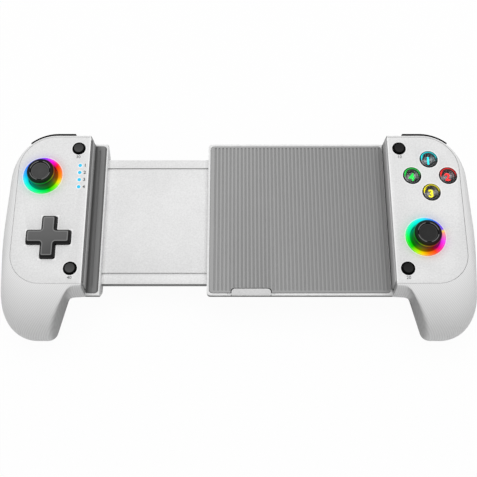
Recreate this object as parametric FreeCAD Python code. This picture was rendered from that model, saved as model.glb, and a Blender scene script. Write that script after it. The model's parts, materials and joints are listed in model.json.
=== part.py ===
import FreeCAD, Part
import math
import os
from FreeCAD import Vector

# Telescopic game controller that holds a phone between two grips.
# X runs across, Y away from the player, Z out of the face.
# The sub-parts are drawn with the face plates' top at Z = 0. The right half is drawn
# at +X, and pieces of the left half are drawn there too and then mirrored. The last
# step moves the origin to the bottom centre of the controller as it lies on its back.

# clearances and walls
plate_gap = 0.15          # face plate to the rim of its shell
move_gap = 0.3            # moving piece to its neighbour
pin_gap = 0.05            # pin to bore, on the radius
past = 1.0                # cutter beyond the face it opens
bite = 0.1                # overlap of pieces that are fused
beyond = 90.0             # farther out than any piece
wall = 2.0                # moulded shells
plate = 2.0               # face plate thickness

# grip halves, seen from above
wall_x = 83.9             # clamp wall to the mid-plane
plate_width = 39.0
outer_x = wall_x + plate_width
plate_top = 61.1
plate_bottom = -25.2
plate_top_round = 20.0
plate_low_round = 17.0
rim = 0.8                 # shell edge that shows round the face plate
side_bulge = 8.0          # side of the grip beyond the shell's rim
side_depth = 14.0         # depth at which the side is widest
top_bulge = 1.6
tip_reach = 24.6          # grip tip beyond the face plate
tip_depth = 24.0
tip_inner = 32.8          # inner side of the tip, in from the shell's outer rim
neck_inner = 35.5         # inner side of the neck, in from the same rim
edge_depth = 16.0          # where the edge beside the base stands out most
edge_slant = 0.45
back_depth = 35.5
back_inset = 8.2          # the flat of the back, in from the widest outline
grip_steps = 8
cavity_steps = 4
ledge = 1.6               # seat under the face plate
ledge_depth = 1.5

# base under the phone
mat_plane = 13.0          # top of the mat below the face
rim_drop = 0.4            # base rim below the top of the mat
base_left = -17.7
base_front = -28.1
base_back = 63.3
base_lip = 3.1            # upright front wall above the slanted underside
base_slant = 4.4
base_corner = 2.5
base_rounds = [0.3, 1.5, 3.0]    # rim, foot of the front wall, edge of the bottom
base_end = 2.0            # wall between the slide channel and the right grip
mat_thick = 1.6
mat_inset = 1.4
mat_corner = 2.0
mat_gap = 0.1
mat_ribs = 45
rib_depth = 0.45
rib_share = 0.42          # groove width as a share of the rib pitch
rib_margin = 1.6
pad_thick = 1.0
pad_low = 0.6             # wall pad above the mat
pad_high = 1.2            # wall pad below the face
pad_end = 1.0             # wall pad inside the face plate's ends
pad_flare = 1.8           # how much longer the wall pad is at its foot
pad_corner = 1.0
cover_thick = 1.6
cover_margin = 0.7
ledge_rim = 0.9           # rim beside the clamp ledge's pad
ledge_wall_gap = 0.3
ledge_grooves = (0.8, 1.4)    # edges of each groove from the pad's middle
ledge_groove_end = 4.0

# telescopic slide
slider_front = -20.4
slider_back = 55.1
slider_top = 17.5
slider_thick = 4.4
runner_high = 0.5         # cover to the slider, bridged by the runners
runner_gap = 0.05
runner_half = 1.0
runner_end = 1.0
guide_start = 1.0         # guides behind the mouth's edge
guide_bite = 0.5
slider_skin = 1.8
slider_cells = 4
slider_rib = 1.6
slide_stop = 1.9          # slider to the end of its channel, pushed right in
slide_out = 20.0
slide_in = 58.0
groove_width = 1.2
groove_depth = 0.7
groove_inset = 5.8
mouth = 7.0               # narrow mouth of the base that stops the hooks
hook_out = 1.5
clamp_width = 7.7         # ledge of the left half that carries the slider
slider_seat = 5.0         # length of the slider held in the ledge
slider_solid = 1.0        # solid part of the slider beyond its seat

# underside of the base, below the slide and its cover
base_depth = slider_top + slider_thick + runner_high + cover_thick

# sticks
high_stick = (outer_x - 13.7, 37.2)
low_stick = (wall_x + 17.1, 1.0)
ring_radius = 10.9
ring_bore = 8.2
ring_proud = 0.3
ring_gap = 0.1
ring_bevel = 0.5
pivot_depth = 7.6
dome_radius = 9.6
dome_wall = 0.8
dome_reach = 74.0         # lowest place of the tilted dome's edge, from upright
cap_radius = 7.6
cap_top = 7.1
cap_thick = 2.0
cap_edge = 0.6
cap_dish = 5.0
dish_depth = 0.6
grip_bumps = 4
bump_long = 1.8
bump_wide = 1.0
bump_high = 0.25
neck_radius = 3.6
shaft_radius = 1.6
shaft_low = 1.0
shaft_gap = 0.1           # pressed shaft to the floor of its bore
hub_half = 2.4
hub_top = 3.9
hub_low = 2.0
gimbal_out = 4.7
gimbal_in = 3.4
gimbal_half = 1.1
gimbal_pin = 0.7
pin_end = 0.1             # pin's end inside the piece that holds it
frame_half = 5.8
frame_wall = 0.6
frame_top = 1.8
frame_base = 0.8
sensor_long = 6.0
sensor_thick = 1.8
sensor_high = 3.4
stick_press = 0.5
stick_tilt = 18.0

# face buttons
cluster = (outer_x - 16.5, 37.3)
cluster_spread = 10.0
button_radius = 4.85
button_hole = 5.1
button_proud = 1.5
button_bevel = 0.9
button_flange = 5.65
flange_thick = 1.2
button_travel = 1.2

# small round buttons
small_x = wall_x + 6.3
small_top_y = 54.0
small_low_y = -16.9
small_radius = 3.45
small_hole = 3.8
small_proud = 1.0
small_bevel = 0.3
small_flange = 4.1
small_travel = 0.8

# direction pad
pad_at = (outer_x - 19.9, 0.6)
pad_span = 24.0
pad_arm = 7.9
pad_round = 1.2
pad_well_round = 0.5      # inner corners of its opening
pad_proud = 2.8
pad_bevel = 1.0
pad_skirt_out = 1.2       # flange of the pad beyond its arms
pad_skirt_top = 3.4
pad_skirt_thick = 1.0
pad_tilt = 4.0
pad_pivot_depth = 2.9
pad_pin = 0.8
pad_lug = 1.0             # lug thickness on pad and yoke
pad_lug_in = 2.2          # lugs from the middle of the pivot
pad_lug_half = 1.3
pad_lug_end = 0.4         # lugs end above the flange's lower face
pad_yoke_gap = 0.4
pad_pocket = 4.2
pad_pocket_depth = 1.4
pad_switch_out = 8.5

# indicator lamps
lamp_x = wall_x + 4.9
lamp_y = 30.5
lamp_pitch = 4.33
lamp_count = 4
lamp_radius = 0.95
lamp_bar = 1.4
lamp_proud = 0.05

# shoulder buttons and triggers
bumper_inner = wall_x + 9.4
bumper_top = 3.4
bumper_high = 7.6
bumper_out = 3.9          # bumper face beyond the face plate
bumper_wall = 3.2
bumper_angle = 49.0       # where the bumper ends on the rounded corner
bumper_swing = 2.5          # degrees between the bumper's end and the shell
bumper_travel = 0.8
bumper_foot = 4.0
bumper_foot_y = 57.0
bumper_foot_low = 0.2     # foot above the bumper's lower edge
bumper_foot_high = 2.6
bumper_foot_bite = 0.3    # foot into the bumper's band
bumper_ray = 45.0         # length of the line that ends the bumper
trigger_inner = wall_x + 10.0
trigger_side = 6.8        # trigger's outer end to the face plate's edge
trigger_width = outer_x - trigger_side - trigger_inner
trigger_round = 8.0
trigger_y = 54.5
trigger_hub = 2.6
trigger_top = 13.3
trigger_back = 57.4
trigger_heel = 2.9         # lower end of the trigger's back, in from the upper end
trigger_face = 63.8
trigger_lip = 68.5
trigger_low = 32.2
trigger_waist = 11.0      # upper edge to the hollow of the finger face
trigger_hollow = 0.9
trigger_hollow_round = 22.0
trigger_lip_high = 0.7
trigger_lip_in = 1.9
trigger_heel_high = 3.4
trigger_edge = 0.8        # round of the upper back edge and of the lip
trigger_soft = 1.5        # round of the upper front edge and of the heel
trigger_inner_round = 2.0
trigger_room = 0.6        # shell's opening behind the trigger's back
arm_into = 2.0            # trigger's arm into its body
arm_under = 1.6
arm_over = 1.8
spring_side = 7.0         # spring room from each side of the trigger
spring_half = 4.0
spring_web = 0.1
axle_radius = 1.0
ear = 2.4
ear_into = 2.0            # ears into the shell's upper wall

# inside
board_top = 12.4
board_thick = 1.6
hub_gap = 0.4              # circuit board to the trigger's hub
board_edge = 0.6          # board inside the face plate's edge
board_wall_gap = 0.5
board_front = -21.0
board_back = 56.5
board_corner = 9.0
post_radius = 3.0
post_bore = 2.1
post_bridge = 3.0
screw_head = 1.9
screw_head_high = 1.2
screw_radius = 0.9
screw_top = 7.0
screw_gap = 0.2           # screw to the shell's bridge, on the radius
thread_gap = 0.1
hole_gap = 0.3            # screw to its hole in the board
boss_radius = 2.2
low_post_in = 21.1        # screw pillars from the clamp wall
high_post_in = 13.6
posts = [(wall_x + low_post_in, -17.5), (wall_x + high_post_in, 46.2)]
switch_side = 4.5
switch_gap = 0.1          # pressed button to its switch
side_switch_long = 3.6    # switch behind the shoulder button
side_switch_top = 2.5     # its top above the bumper's lower edge
battery_x = wall_x + 16.5
battery_y = -13.0
battery_wide = 15.0
battery_long = 50.0
battery_high = 8.0
battery_round = 1.5
port_x = outer_x - 13.2
port_depth = 24.0
port_width = 9.0
port_high = 3.2
port_long = 7.4
port_skin = 0.35
port_tongue = 0.7
port_inset = 0.3          # mouth of the port inside the grip tip
end_flat = 0.01           # flat left between the two rounds of the port's ends
port_board = 0.8
port_board_long = 13.0
port_board_left = 5.2     # port's board from the port's middle
port_board_right = 4.4
port_board_round = 1.0
port_board_in = 1.8       # board behind the shell's wall
port_back = 1.0           # rear wall of the port's case
tongue_side = 1.2
tongue_front = 0.8
tongue_back = 0.5
port_hole_reach = 3.0     # opening in the shell beyond both faces of its wall
port_rib_left = 4.4
port_rib_right = 3.6
port_rib_in = 4.0
port_rib_long = 6.0
port_rib_bite = 1.0       # rib out of the flat of the back
hole_reach = 5.0          # cutters of the face plate's openings

# lip at the front of the base
lip_left = -4.4
lip_right = 17.7
lip_reach = 3.8
lip_thick = 1.5
lip_corner = 2.0
lip_pin = 0.45
lip_pin_y = 0.85
lip_pin_out = 1.8         # pin beyond each side of the lip's opening
lip_gap = 0.2
lip_sunk = 0.1            # lip below the top of the mat
lip_room = 1.0            # space under the lip
lip_front_round = 0.4

# heights that several pieces share
seat_plane = -mat_plane - rim_drop
trigger_depth = board_top + board_thick + hub_gap + trigger_hub
pivot_z = -pivot_depth
board_z = -board_top
floor_z = -back_depth + wall
grip_tip = plate_bottom - rim - tip_reach
slider_end = wall_x - base_end - slide_stop - slide_in


def at(x, y, z=0.0):
    return Vector(x, y, z)


def box(x0, x1, y0, y1, z0, z1):
    return Part.makeBox(x1 - x0, y1 - y0, z1 - z0, at(x0, y0, z0))


def disc(x, y, z0, z1, radius):
    return Part.makeCylinder(radius, z1 - z0, at(x, y, z0))


def rounded_wire(corners, rounds, z=0.0):
    # closed outline in a level plane, each corner with its own radius
    edges = []
    starts = []
    ends = []
    count = len(corners)
    for i in range(count):
        corner = at(corners[i][0], corners[i][1], z)
        before = at(corners[i - 1][0], corners[i - 1][1], z)
        after = at(corners[(i + 1) % count][0], corners[(i + 1) % count][1], z)
        back = (before - corner).normalize()
        ahead = (after - corner).normalize()
        half = back.getAngle(ahead) / 2
        run = rounds[i] / math.tan(half)
        starts.append(corner + back * run)
        ends.append(corner + ahead * run)
        if rounds[i] > 0:
            middle = (back + ahead).normalize()
            nearest = corner + middle * (rounds[i] / math.sin(half) - rounds[i])
            edges.append(Part.Arc(starts[i], nearest, ends[i]).toShape())
    for i in range(count):
        following = starts[(i + 1) % count]
        if ends[i].distanceToPoint(following) > 1e-6:
            edges.append(Part.LineSegment(ends[i], following).toShape())
    return Part.Wire(Part.__sortEdges__(edges))


def slab(corners, rounds, z0, z1):
    return Part.Face(rounded_wire(corners, rounds, z0)).extrude(at(0, 0, z1 - z0))


def rectangle(x0, x1, y0, y1):
    return [(x0, y0), (x1, y0), (x1, y1), (x0, y1)]


def side_slab(corners, rounds, x0, x1):
    # prism along X from an outline of (y, z) corners
    solid = slab(corners, rounds, 0, x1 - x0)
    turn = FreeCAD.Rotation(Vector(1, 1, 1), 120)
    solid.Placement = FreeCAD.Placement(at(x0, 0, 0), turn)
    return solid


def turned(profile, x=0.0, y=0.0):
    # solid of revolution from (radius, height) points
    corners = [at(radius, 0, height) for radius, height in profile]
    outline = Part.makePolygon(corners + corners[:1])
    solid = Part.Face(outline).revolve(at(0, 0, 0), at(0, 0, 1), 360)
    solid.translate(at(x, y))
    return solid


def centred_pin(radius, reach, direction):
    # pin or bore that reaches as far both ways from the middle
    return Part.makeCylinder(radius, 2 * reach, direction * -reach, direction)


def fused(solids):
    return solids[0].multiFuse(solids[1:]).removeSplitter()


def moved(solid, x, y, z=0.0):
    copy = solid.copy()
    copy.translate(at(x, y, z))
    return copy


def mirrored(solid):
    return solid.mirror(at(0, 0, 0), at(1, 0, 0))


# grip shells

def plate_slab(grow, z0, z1, inner=wall_x):
    # outline of the face plate, grown or shrunk on all sides but the clamp wall
    corners = rectangle(inner, outer_x + grow, plate_bottom - grow, plate_top + grow)
    return slab(corners, [0, plate_low_round + grow, plate_top_round + grow, 0], z0, z1)


def grip_corners(depth):
    # corners and rounds of the grip's outline at a depth below the face: each corner
    # swells to the widest outline on an ellipse, then tucks in to the flat of the back
    outer = outer_x + rim
    top = plate_top + rim
    low = plate_bottom - rim
    high_round = plate_top_round + rim
    low_round = plate_low_round + rim
    # x, y, swell in x and y, depth of the widest place, tuck in x and y,
    # round, how much it widens with the swell and tightens with the tuck,
    # and how steeply the lower edge follows the slant of the base
    plan = [
        (wall_x, top, 0, top_bulge, base_depth, 1, -1, 0, 0, 0, 0),
        (outer, top, side_bulge - 2.2, top_bulge, side_depth, -1, -1, high_round, 6.0, 0.5, 0),
        (outer + 0.4, 5.0, side_bulge, -5.0, side_depth, -1, 0, 200.0, 0, 0, 0),
        (outer, low, side_bulge - 2.6, -tip_reach, tip_depth, -1, 1, low_round, 0, 0.7, 0),
        (outer - tip_inner, low - 0.3, 9.9, 0.3 - tip_reach, tip_depth, 0.6, 1, 3.0, 2.5, 0.3, 0),
        (outer - neck_inner, low, 5.7, -2.8, edge_depth, 0.5, 1, 6.0, 0, 0, edge_slant),
        (wall_x, low, 0, -2.2, edge_depth, 1, 1, 0, 0, 0, edge_slant),
    ]
    corners = []
    rounds = []
    for x, y, swell_x, swell_y, widest, tuck_x, tuck_y, radius, widen, tighten, slant in plan:
        rise = max(0.0, 1.0 - depth / widest)
        out = math.sqrt(1.0 - rise * rise)
        fall = max(0.0, (depth - widest) / (back_depth - widest))
        tuck = back_inset * (1.0 - math.sqrt(max(0.0, 1.0 - fall * fall)))
        follow = slant * max(0.0, min(depth, base_depth) - widest)
        corners.append((x + swell_x * out + tuck_x * tuck, y + swell_y * out + tuck_y * tuck + follow))
        rounds.append(radius + widen * out - tighten * tuck)
    return corners, rounds


def inset_outline(corners, rounds, inset):
    # clockwise outline moved inwards: each corner slides along its bisector
    moved_corners = []
    moved_rounds = []
    count = len(corners)
    for i in range(count):
        before = at(*corners[i - 1])
        here = at(*corners[i])
        after = at(*corners[(i + 1) % count])
        first = (here - before).normalize()
        second = (after - here).normalize()
        normal = at(first.y + second.y, -first.x - second.x).normalize()
        slide = inset / (normal.x * first.y - normal.y * first.x)
        moved_corners.append((here.x + normal.x * slide, here.y + normal.y * slide))
        inside = first.x * second.y - first.y * second.x < 0
        shift = -inset if inside else inset
        moved_rounds.append(max(0.0, rounds[i] + shift) if rounds[i] else 0)
    return moved_corners, moved_rounds


def grip_levels(first, last, steps, inset):
    # levels crowd towards the face and the back, where the form turns fastest
    wires = []
    for i in range(steps + 1):
        level = first + (last - first) * (1.0 - math.cos(math.pi * i / steps)) / 2
        depth = (level - inset) * back_depth / (back_depth - 2 * inset)
        corners, rounds = grip_corners(depth)
        if inset:
            corners, rounds = inset_outline(corners, rounds, inset)
        wires.append(rounded_wire(corners, rounds, -level))
    return wires


def grip_form():
    return Part.makeLoft(grip_levels(0, back_depth, grip_steps, 0), True, True)


def grip_cavity():
    # hollow that follows the grip one wall inside it
    wires = grip_levels(plate + ledge_depth, back_depth - wall, cavity_steps, wall)
    return Part.makeLoft(wires, True, True)


def bumper_band(grow_in, grow_out, z0, z1, end_gap=0, turn_gap=0):
    # strip along the top edge that turns round the outer corner
    outside = plate_slab(bumper_out + grow_out, z0, z1)
    inside = plate_slab(bumper_out - bumper_wall - grow_in, z0 - past, z1 + past)
    centre_x = outer_x - plate_top_round
    centre_y = plate_top - plate_top_round
    turn = math.radians(bumper_angle - turn_gap)
    left = bumper_inner - end_gap
    ray_x = centre_x + bumper_ray * math.cos(turn)
    ray_y = centre_y + bumper_ray * math.sin(turn)
    sector = [(left, centre_y), (centre_x, centre_y), (ray_x, ray_y), (ray_x, beyond), (left, beyond)]
    return outside.cut(inside).common(slab(sector, [0] * 5, z0, z1))


def shell_posts():
    # pillars that carry the circuit board, each bored from the back for its screw
    top = board_z - board_thick
    return [disc(x, y, -back_depth, top, post_radius) for x, y in posts]


def screw_bores():
    top = board_z - board_thick
    bores = []
    for x, y in posts:
        bores.append(disc(x, y, -back_depth - past, top - post_bridge, post_bore))
        bores.append(disc(x, y, top - post_bridge - past, top + past, screw_radius + screw_gap))
    return bores


def trigger_ears():
    # lugs on the shell that hold the trigger's axle
    low = trigger_depth + trigger_hub
    high = trigger_depth - trigger_hub
    left = trigger_inner - move_gap - ear
    right = trigger_inner + trigger_width + move_gap
    ears = []
    for x in (left, right):
        ears.append(box(x, x + ear, trigger_y - trigger_hub, plate_top + ear_into, -low, -high))
    return ears


def axle_cut(radius, x0, x1):
    return Part.makeCylinder(radius, x1 - x0, at(x0, trigger_y, -trigger_depth), at(1, 0, 0))


def grip_shell(button_places):
    form = grip_form()
    shell = form.cut(grip_cavity())
    inner = wall_x + wall
    ribs = [form.common(piece) for piece in shell_posts() + trigger_ears()]
    shell = shell.fuse(ribs)
    cuts = [
        plate_slab(plate_gap, -plate, past),
        plate_slab(-ledge, -plate - ledge_depth - past, -plate + past, inner),
        bumper_band(bumper_travel + move_gap, 5, -bumper_top - bumper_high - move_gap,
                    -bumper_top + move_gap, move_gap, bumper_swing),
        box(trigger_inner - move_gap, trigger_inner + trigger_width + move_gap,
            trigger_back - trigger_room, beyond, -back_depth - past, -trigger_top + move_gap),
        axle_cut(axle_radius, trigger_inner - 2 * ear, trigger_inner + trigger_width + 2 * ear),
    ]
    for x, y in button_places:
        cuts.append(disc(x, y, -plate - 3, -plate, button_flange + move_gap))
    shell = shell.cut(cuts + screw_bores())
    return max(shell.Solids, key=lambda solid: solid.Volume)


def face_plate(holes):
    # plate with its openings and the bosses that take the screws
    solid = plate_slab(0, -plate, 0)
    bosses = [disc(x, y, board_z, -plate, boss_radius) for x, y in posts]
    solid = solid.fuse(bosses)
    bores = [disc(x, y, board_z - past, -screw_top + past, screw_radius + thread_gap) for x, y in posts]
    return solid.cut(holes + bores)


def shell_screws():
    under = board_z - board_thick - post_bridge
    profile = [(0, under - screw_head_high), (screw_head, under - screw_head_high),
               (screw_head, under), (screw_radius, under), (screw_radius, -screw_top), (0, -screw_top)]
    return Part.makeCompound([turned(profile, x, y) for x, y in posts])


def circuit_board():
    left = wall_x + wall + board_wall_gap
    right = outer_x - board_edge
    cut = board_corner
    corners = [(left, board_front), (right - cut, board_front), (right, board_front + cut),
               (right, board_back - cut), (right - cut, board_back), (left, board_back)]
    low = board_z - board_thick
    board = slab(corners, [0] * 6, low, board_z)
    holes = [disc(x, y, low - past, board_z + past, screw_radius + hole_gap) for x, y in posts]
    return board.cut(holes)


def tact_switches(places):
    # one push switch under each button and one behind the shoulder button
    half = switch_side / 2
    switches = []
    for x, y, low in places:
        switches.append(box(x - half, x + half, y - half, y + half, board_z, low))
    middle = wall_x + plate_width / 2
    back = bumper_foot_y - bumper_travel - switch_gap
    switches.append(box(middle - half, middle + half, back - side_switch_long, back,
                        board_z, -bumper_top - bumper_high + side_switch_top))
    return Part.makeCompound(switches)


# sticks

def stick_ring():
    # translucent ring glued into the face plate, bevelled at its outer edge
    outside = ring_radius - ring_gap
    return turned([(ring_bore, -plate), (outside, -plate), (outside, ring_proud - ring_bevel),
                   (outside - ring_bevel, ring_proud), (ring_bore, ring_proud)])


def stick_frame():
    # open steel frame of the stick, soldered to the board, with a sensor on two sides
    low = board_z - pivot_z
    inner = frame_half - frame_wall
    frame = box(-frame_half, frame_half, -frame_half, frame_half, low, frame_top)
    frame = frame.cut(box(-inner, inner, -inner, inner, low + frame_base, frame_top + past))
    frame = frame.cut(centred_pin(gimbal_pin + pin_gap, frame_half + past, at(1, 0, 0)))
    half = sensor_long / 2
    side = frame_half + sensor_thick
    frame = frame.fuse([box(frame_half, side, -half, half, low, low + sensor_high),
                        box(-half, half, -side, -frame_half, low, low + sensor_high)])
    return frame


def stick_gimbal():
    # square ring that tips about X on two pins and carries the hub's pins along Y
    out = gimbal_out
    ring = box(-out, out, -out, out, -gimbal_half, gimbal_half)
    high = gimbal_half + past
    pins = centred_pin(gimbal_pin, frame_half - pin_end, at(1, 0, 0))
    ring = ring.fuse(pins).cut(box(-gimbal_in, gimbal_in, -gimbal_in, gimbal_in, -high, high))
    return ring.cut(centred_pin(gimbal_pin + pin_gap, out + past, at(0, 1, 0)))


def stick_hub():
    side = hub_half
    hub = box(-side, side, -side, side, -hub_low, hub_top)
    pins = centred_pin(gimbal_pin, gimbal_out - 2 * pin_end, at(0, 1, 0))
    bore = disc(0, 0, -shaft_low - stick_press - shaft_gap, hub_top + past, shaft_radius + pin_gap)
    return hub.fuse(pins).cut(bore)


def stick_cap():
    # dished thumb cap, neck and skirt in one moulding on the shaft, about the pivot
    edge = math.radians(dome_reach - stick_tilt)
    inside = dome_radius - dome_wall
    rise = cap_top - pivot_z
    under = rise - cap_thick
    neck_meet = math.sqrt(dome_radius ** 2 - neck_radius ** 2)
    profile = [
        (0, -shaft_low), (shaft_radius, -shaft_low), (shaft_radius, neck_meet - dome_wall),
        (neck_radius, neck_meet - dome_wall),
        (inside * math.sin(edge), inside * math.cos(edge)),
        (dome_radius * math.sin(edge), dome_radius * math.cos(edge)),
        (neck_radius, neck_meet),
        (neck_radius, under), (cap_radius, under),
        (cap_radius, rise - cap_edge), (cap_radius - cap_edge, rise), (cap_dish, rise),
        (cap_dish, rise - dish_depth), (0, rise - dish_depth),
    ]
    cap = turned(profile)
    ridge = (cap_dish + cap_radius - cap_edge) / 2
    bumps = []
    for i in range(grip_bumps):
        turn = 2 * math.pi * i / grip_bumps
        bump = box(-bump_long / 2, bump_long / 2, -bump_wide / 2, bump_wide / 2,
                   rise - bite, rise + bump_high)
        bump.rotate(at(0, 0, 0), at(0, 0, 1), math.degrees(turn))
        bumps.append(moved(bump, ridge * math.cos(turn), ridge * math.sin(turn)))
    return cap.fuse(bumps)


# buttons

def round_button(radius, proud, bevel, flange):
    # bevelled button with a flange that keeps it under the plate
    top = -plate - move_gap
    low = top - flange_thick
    return turned([(0, low), (flange, low), (flange, top), (radius, top),
                   (radius, proud - bevel), (radius - bevel, proud), (0, proud)])


def button_switch_top(travel):
    return -plate - move_gap - flange_thick - travel - switch_gap


def cluster_places():
    x, y = cluster
    spread = cluster_spread
    return [(x, y + spread), (x + spread, y), (x, y - spread), (x - spread, y)]


def cross(span, arm, z0, z1, round_end, round_inner):
    # direction pad outline as one cross-shaped prism
    a = arm / 2
    s = span / 2
    corners = [(a, a), (a, s), (-a, s), (-a, a), (-s, a), (-s, -a), (-a, -a), (-a, -s),
               (a, -s), (a, -a), (s, -a), (s, a)]
    rounds = [round_inner, round_end, round_end] * 4
    return slab(corners, rounds, z0, z1)


def direction_pad():
    # cross with a bevelled top, a flange under the plate, and lugs on the pivot's Y pin
    x, y = pad_at
    low = -pad_skirt_top - pad_skirt_thick
    bevel = pad_bevel
    skirt = 2 * pad_skirt_out
    far = pad_lug_in + pad_lug
    pieces = [
        cross(pad_span, pad_arm, -pad_skirt_top - bite, pad_proud - bevel, pad_round, 0),
        cross(pad_span - 2 * bevel, pad_arm - 2 * bevel, pad_proud - bevel, pad_proud, pad_round, 0),
        cross(pad_span - skirt, pad_arm + skirt, low, -pad_skirt_top, 0, 0),
    ]
    pad = fused(pieces)
    pad = pad.cut(box(-pad_pocket, pad_pocket, -pad_pocket, pad_pocket, low - past, -pad_pocket_depth))
    lugs = []
    for y0 in (-far, pad_lug_in):
        lugs.append(box(-pad_lug_half, pad_lug_half, y0, y0 + pad_lug, low + pad_lug_end, -pad_pocket_depth))
    pad = pad.fuse(lugs).cut(pivot_pin(pad_pin + pin_gap, far + past, at(0, 1, 0)))
    return moved(pad, x, y)


def pivot_pin(radius, reach, direction):
    return moved(centred_pin(radius, reach, direction), 0, 0, -pad_pivot_depth)


def pad_pivot():
    # cross of two pins that lets the pad rock both ways
    reach = pad_lug_in + pad_lug - pin_end
    pins = fused([pivot_pin(pad_pin, reach, at(1, 0, 0)), pivot_pin(pad_pin, reach, at(0, 1, 0))])
    return moved(pins, pad_at[0], pad_at[1])


def pad_yoke():
    # pillar from the board with two uprights that hold the pivot's X pin
    far = pad_lug_in + pad_lug
    half = pad_lug_half
    neck = -pad_skirt_top - pad_skirt_thick - pad_yoke_gap
    pieces = [box(-far, far, -half, half, board_z, neck)]
    for x0 in (-far, pad_lug_in):
        pieces.append(box(x0, x0 + pad_lug, -half, half, neck, -pad_pivot_depth + pad_pin))
    yoke = fused(pieces).cut(pivot_pin(pad_pin + pin_gap, far + past, at(1, 0, 0)))
    return moved(yoke, pad_at[0], pad_at[1])


def pad_switch_places():
    x, y = pad_at
    dip = (pad_switch_out + switch_side) * math.sin(math.radians(pad_tilt))
    top = -pad_skirt_top - pad_skirt_thick - dip - switch_gap
    out = pad_switch_out
    return [(x + out, y, top), (x, y + out, top), (x - out, y, top), (x, y - out, top)]


def lamp_places():
    return [(lamp_x, lamp_y + lamp_pitch * i) for i in range(lamp_count)]


def indicator_lamps():
    half = lamp_bar / 2
    last = lamp_y + lamp_pitch * (lamp_count - 1)
    pieces = [box(lamp_x - half, lamp_x + half, lamp_y - lamp_bar, last + lamp_bar,
                  -plate - lamp_bar, -plate)]
    for x, y in lamp_places():
        pieces.append(disc(x, y, -plate - bite, lamp_proud, lamp_radius))
    return fused(pieces)


# shoulder buttons and triggers

def bumper():
    band = bumper_band(0, 0, -bumper_top - bumper_high, -bumper_top)
    middle = wall_x + plate_width / 2
    half = bumper_foot / 2
    low = -bumper_top - bumper_high + bumper_foot_low
    back = plate_top + bumper_out - bumper_wall + bumper_foot_bite
    foot = box(middle - half, middle + half, bumper_foot_y, back, low, low + bumper_foot_high)
    return fused([band, foot])


def trigger():
    # lever with a hollow finger face, rounded off towards the side of the grip
    x0 = trigger_inner
    x1 = trigger_inner + trigger_width
    top = -trigger_top
    waist = -trigger_top - trigger_waist
    corners = [(trigger_back, top), (trigger_face, top), (trigger_face + trigger_hollow, waist),
               (trigger_lip, -trigger_low + trigger_lip_high),
               (trigger_lip - trigger_lip_in, -trigger_low),
               (trigger_back + trigger_heel, -trigger_low + trigger_heel_high)]
    rounds = [trigger_edge, trigger_soft, trigger_hollow_round, trigger_edge, trigger_edge, trigger_soft]
    body = side_slab(corners, rounds, x0, x1)
    plan = rectangle(x0, x1, trigger_back - past, trigger_lip + past)
    body = body.common(slab(plan, [0, 0, trigger_round, trigger_inner_round], -back_depth, 0))
    arm = box(x0, x1, trigger_y, trigger_back + arm_into,
              -trigger_depth - arm_under, -trigger_depth + arm_over)
    hub = axle_cut(trigger_hub, x0, x1)
    spring_room = box(x0 + spring_side, x1 - spring_side, trigger_y - trigger_hub - past,
                      trigger_back - spring_web, -trigger_depth - spring_half, -trigger_depth + spring_half)
    lever = fused([body, arm, hub]).cut(spring_room)
    return lever.cut(axle_cut(axle_radius + pin_gap, x0 - past, x1 + past))


def trigger_axle():
    return axle_cut(axle_radius, trigger_inner - move_gap - ear + pin_end,
                    trigger_inner + trigger_width + move_gap + ear - pin_end)


# base, slide and mat

def base_section(x0, x1):
    # section of the base: short upright walls and a slanted underside
    slant = base_slant
    corners = [(base_front, seat_plane), (base_front, seat_plane - base_lip),
               (base_front + slant, -base_depth), (base_back - slant, -base_depth),
               (base_back, seat_plane - base_lip), (base_back, seat_plane)]
    return side_slab(corners, base_rounds + base_rounds[::-1], x0, x1)


def slide_channel(x0, x1, side):
    return box(x0, x1, slider_front - side - move_gap, slider_back + side + move_gap,
               -base_depth + cover_thick, -slider_top + move_gap)


def cover_slab(gap, z0, z1):
    side = hook_out + cover_margin + gap
    corners = rectangle(base_left + base_end - gap, wall_x - base_end + gap,
                        slider_front - side, slider_back + side)
    return slab(corners, [base_corner] * 4, z0, z1)


def guide_places():
    return [slider_front + groove_inset, slider_back - groove_inset]


def base_housing():
    body = base_section(base_left, wall_x)
    plan = rectangle(base_left, wall_x, base_front, base_back)
    body = body.common(slab(plan, [base_corner, 0, 0, base_corner], -base_depth, 0))
    hook_start = base_left + mouth
    cuts = [
        slab(rectangle(base_left + mat_inset - plate_gap, wall_x - pad_thick,
                       base_front + mat_inset - plate_gap, base_back - mat_inset + plate_gap),
             [mat_corner] * 4, -mat_plane - mat_thick, 0),
        slide_channel(base_left - past, wall_x - base_end, 0),
        slide_channel(hook_start, wall_x - base_end, hook_out),
        cover_slab(plate_gap, -base_depth - past, -base_depth + cover_thick),
        box(lip_left, lip_right, base_front - past, base_front + lip_reach + lip_gap,
            -mat_plane - lip_thick - lip_room, 0),
        lip_pin_along(lip_pin + pin_gap, lip_pin_out + lip_gap),
    ]
    body = body.cut(cuts)
    guides = []
    half = groove_width / 2 - move_gap
    for y in guide_places():
        guides.append(box(base_left + guide_start, base_left + mouth, y - half, y + half,
                          -slider_top - groove_depth + move_gap, -slider_top + move_gap + guide_bite))
    return body.fuse(guides)


def base_cover():
    # plate that closes the slide channel from below, with two runners for the slider
    low = -base_depth
    cover = cover_slab(0, low, low + cover_thick)
    runners = []
    bottom = -slider_top - slider_thick
    for y in guide_places():
        runners.append(box(base_left + base_end, wall_x - base_end - runner_end, y - runner_half,
                           y + runner_half, low + cover_thick - bite, bottom - runner_gap))
    return fused([cover] + runners)


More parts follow.
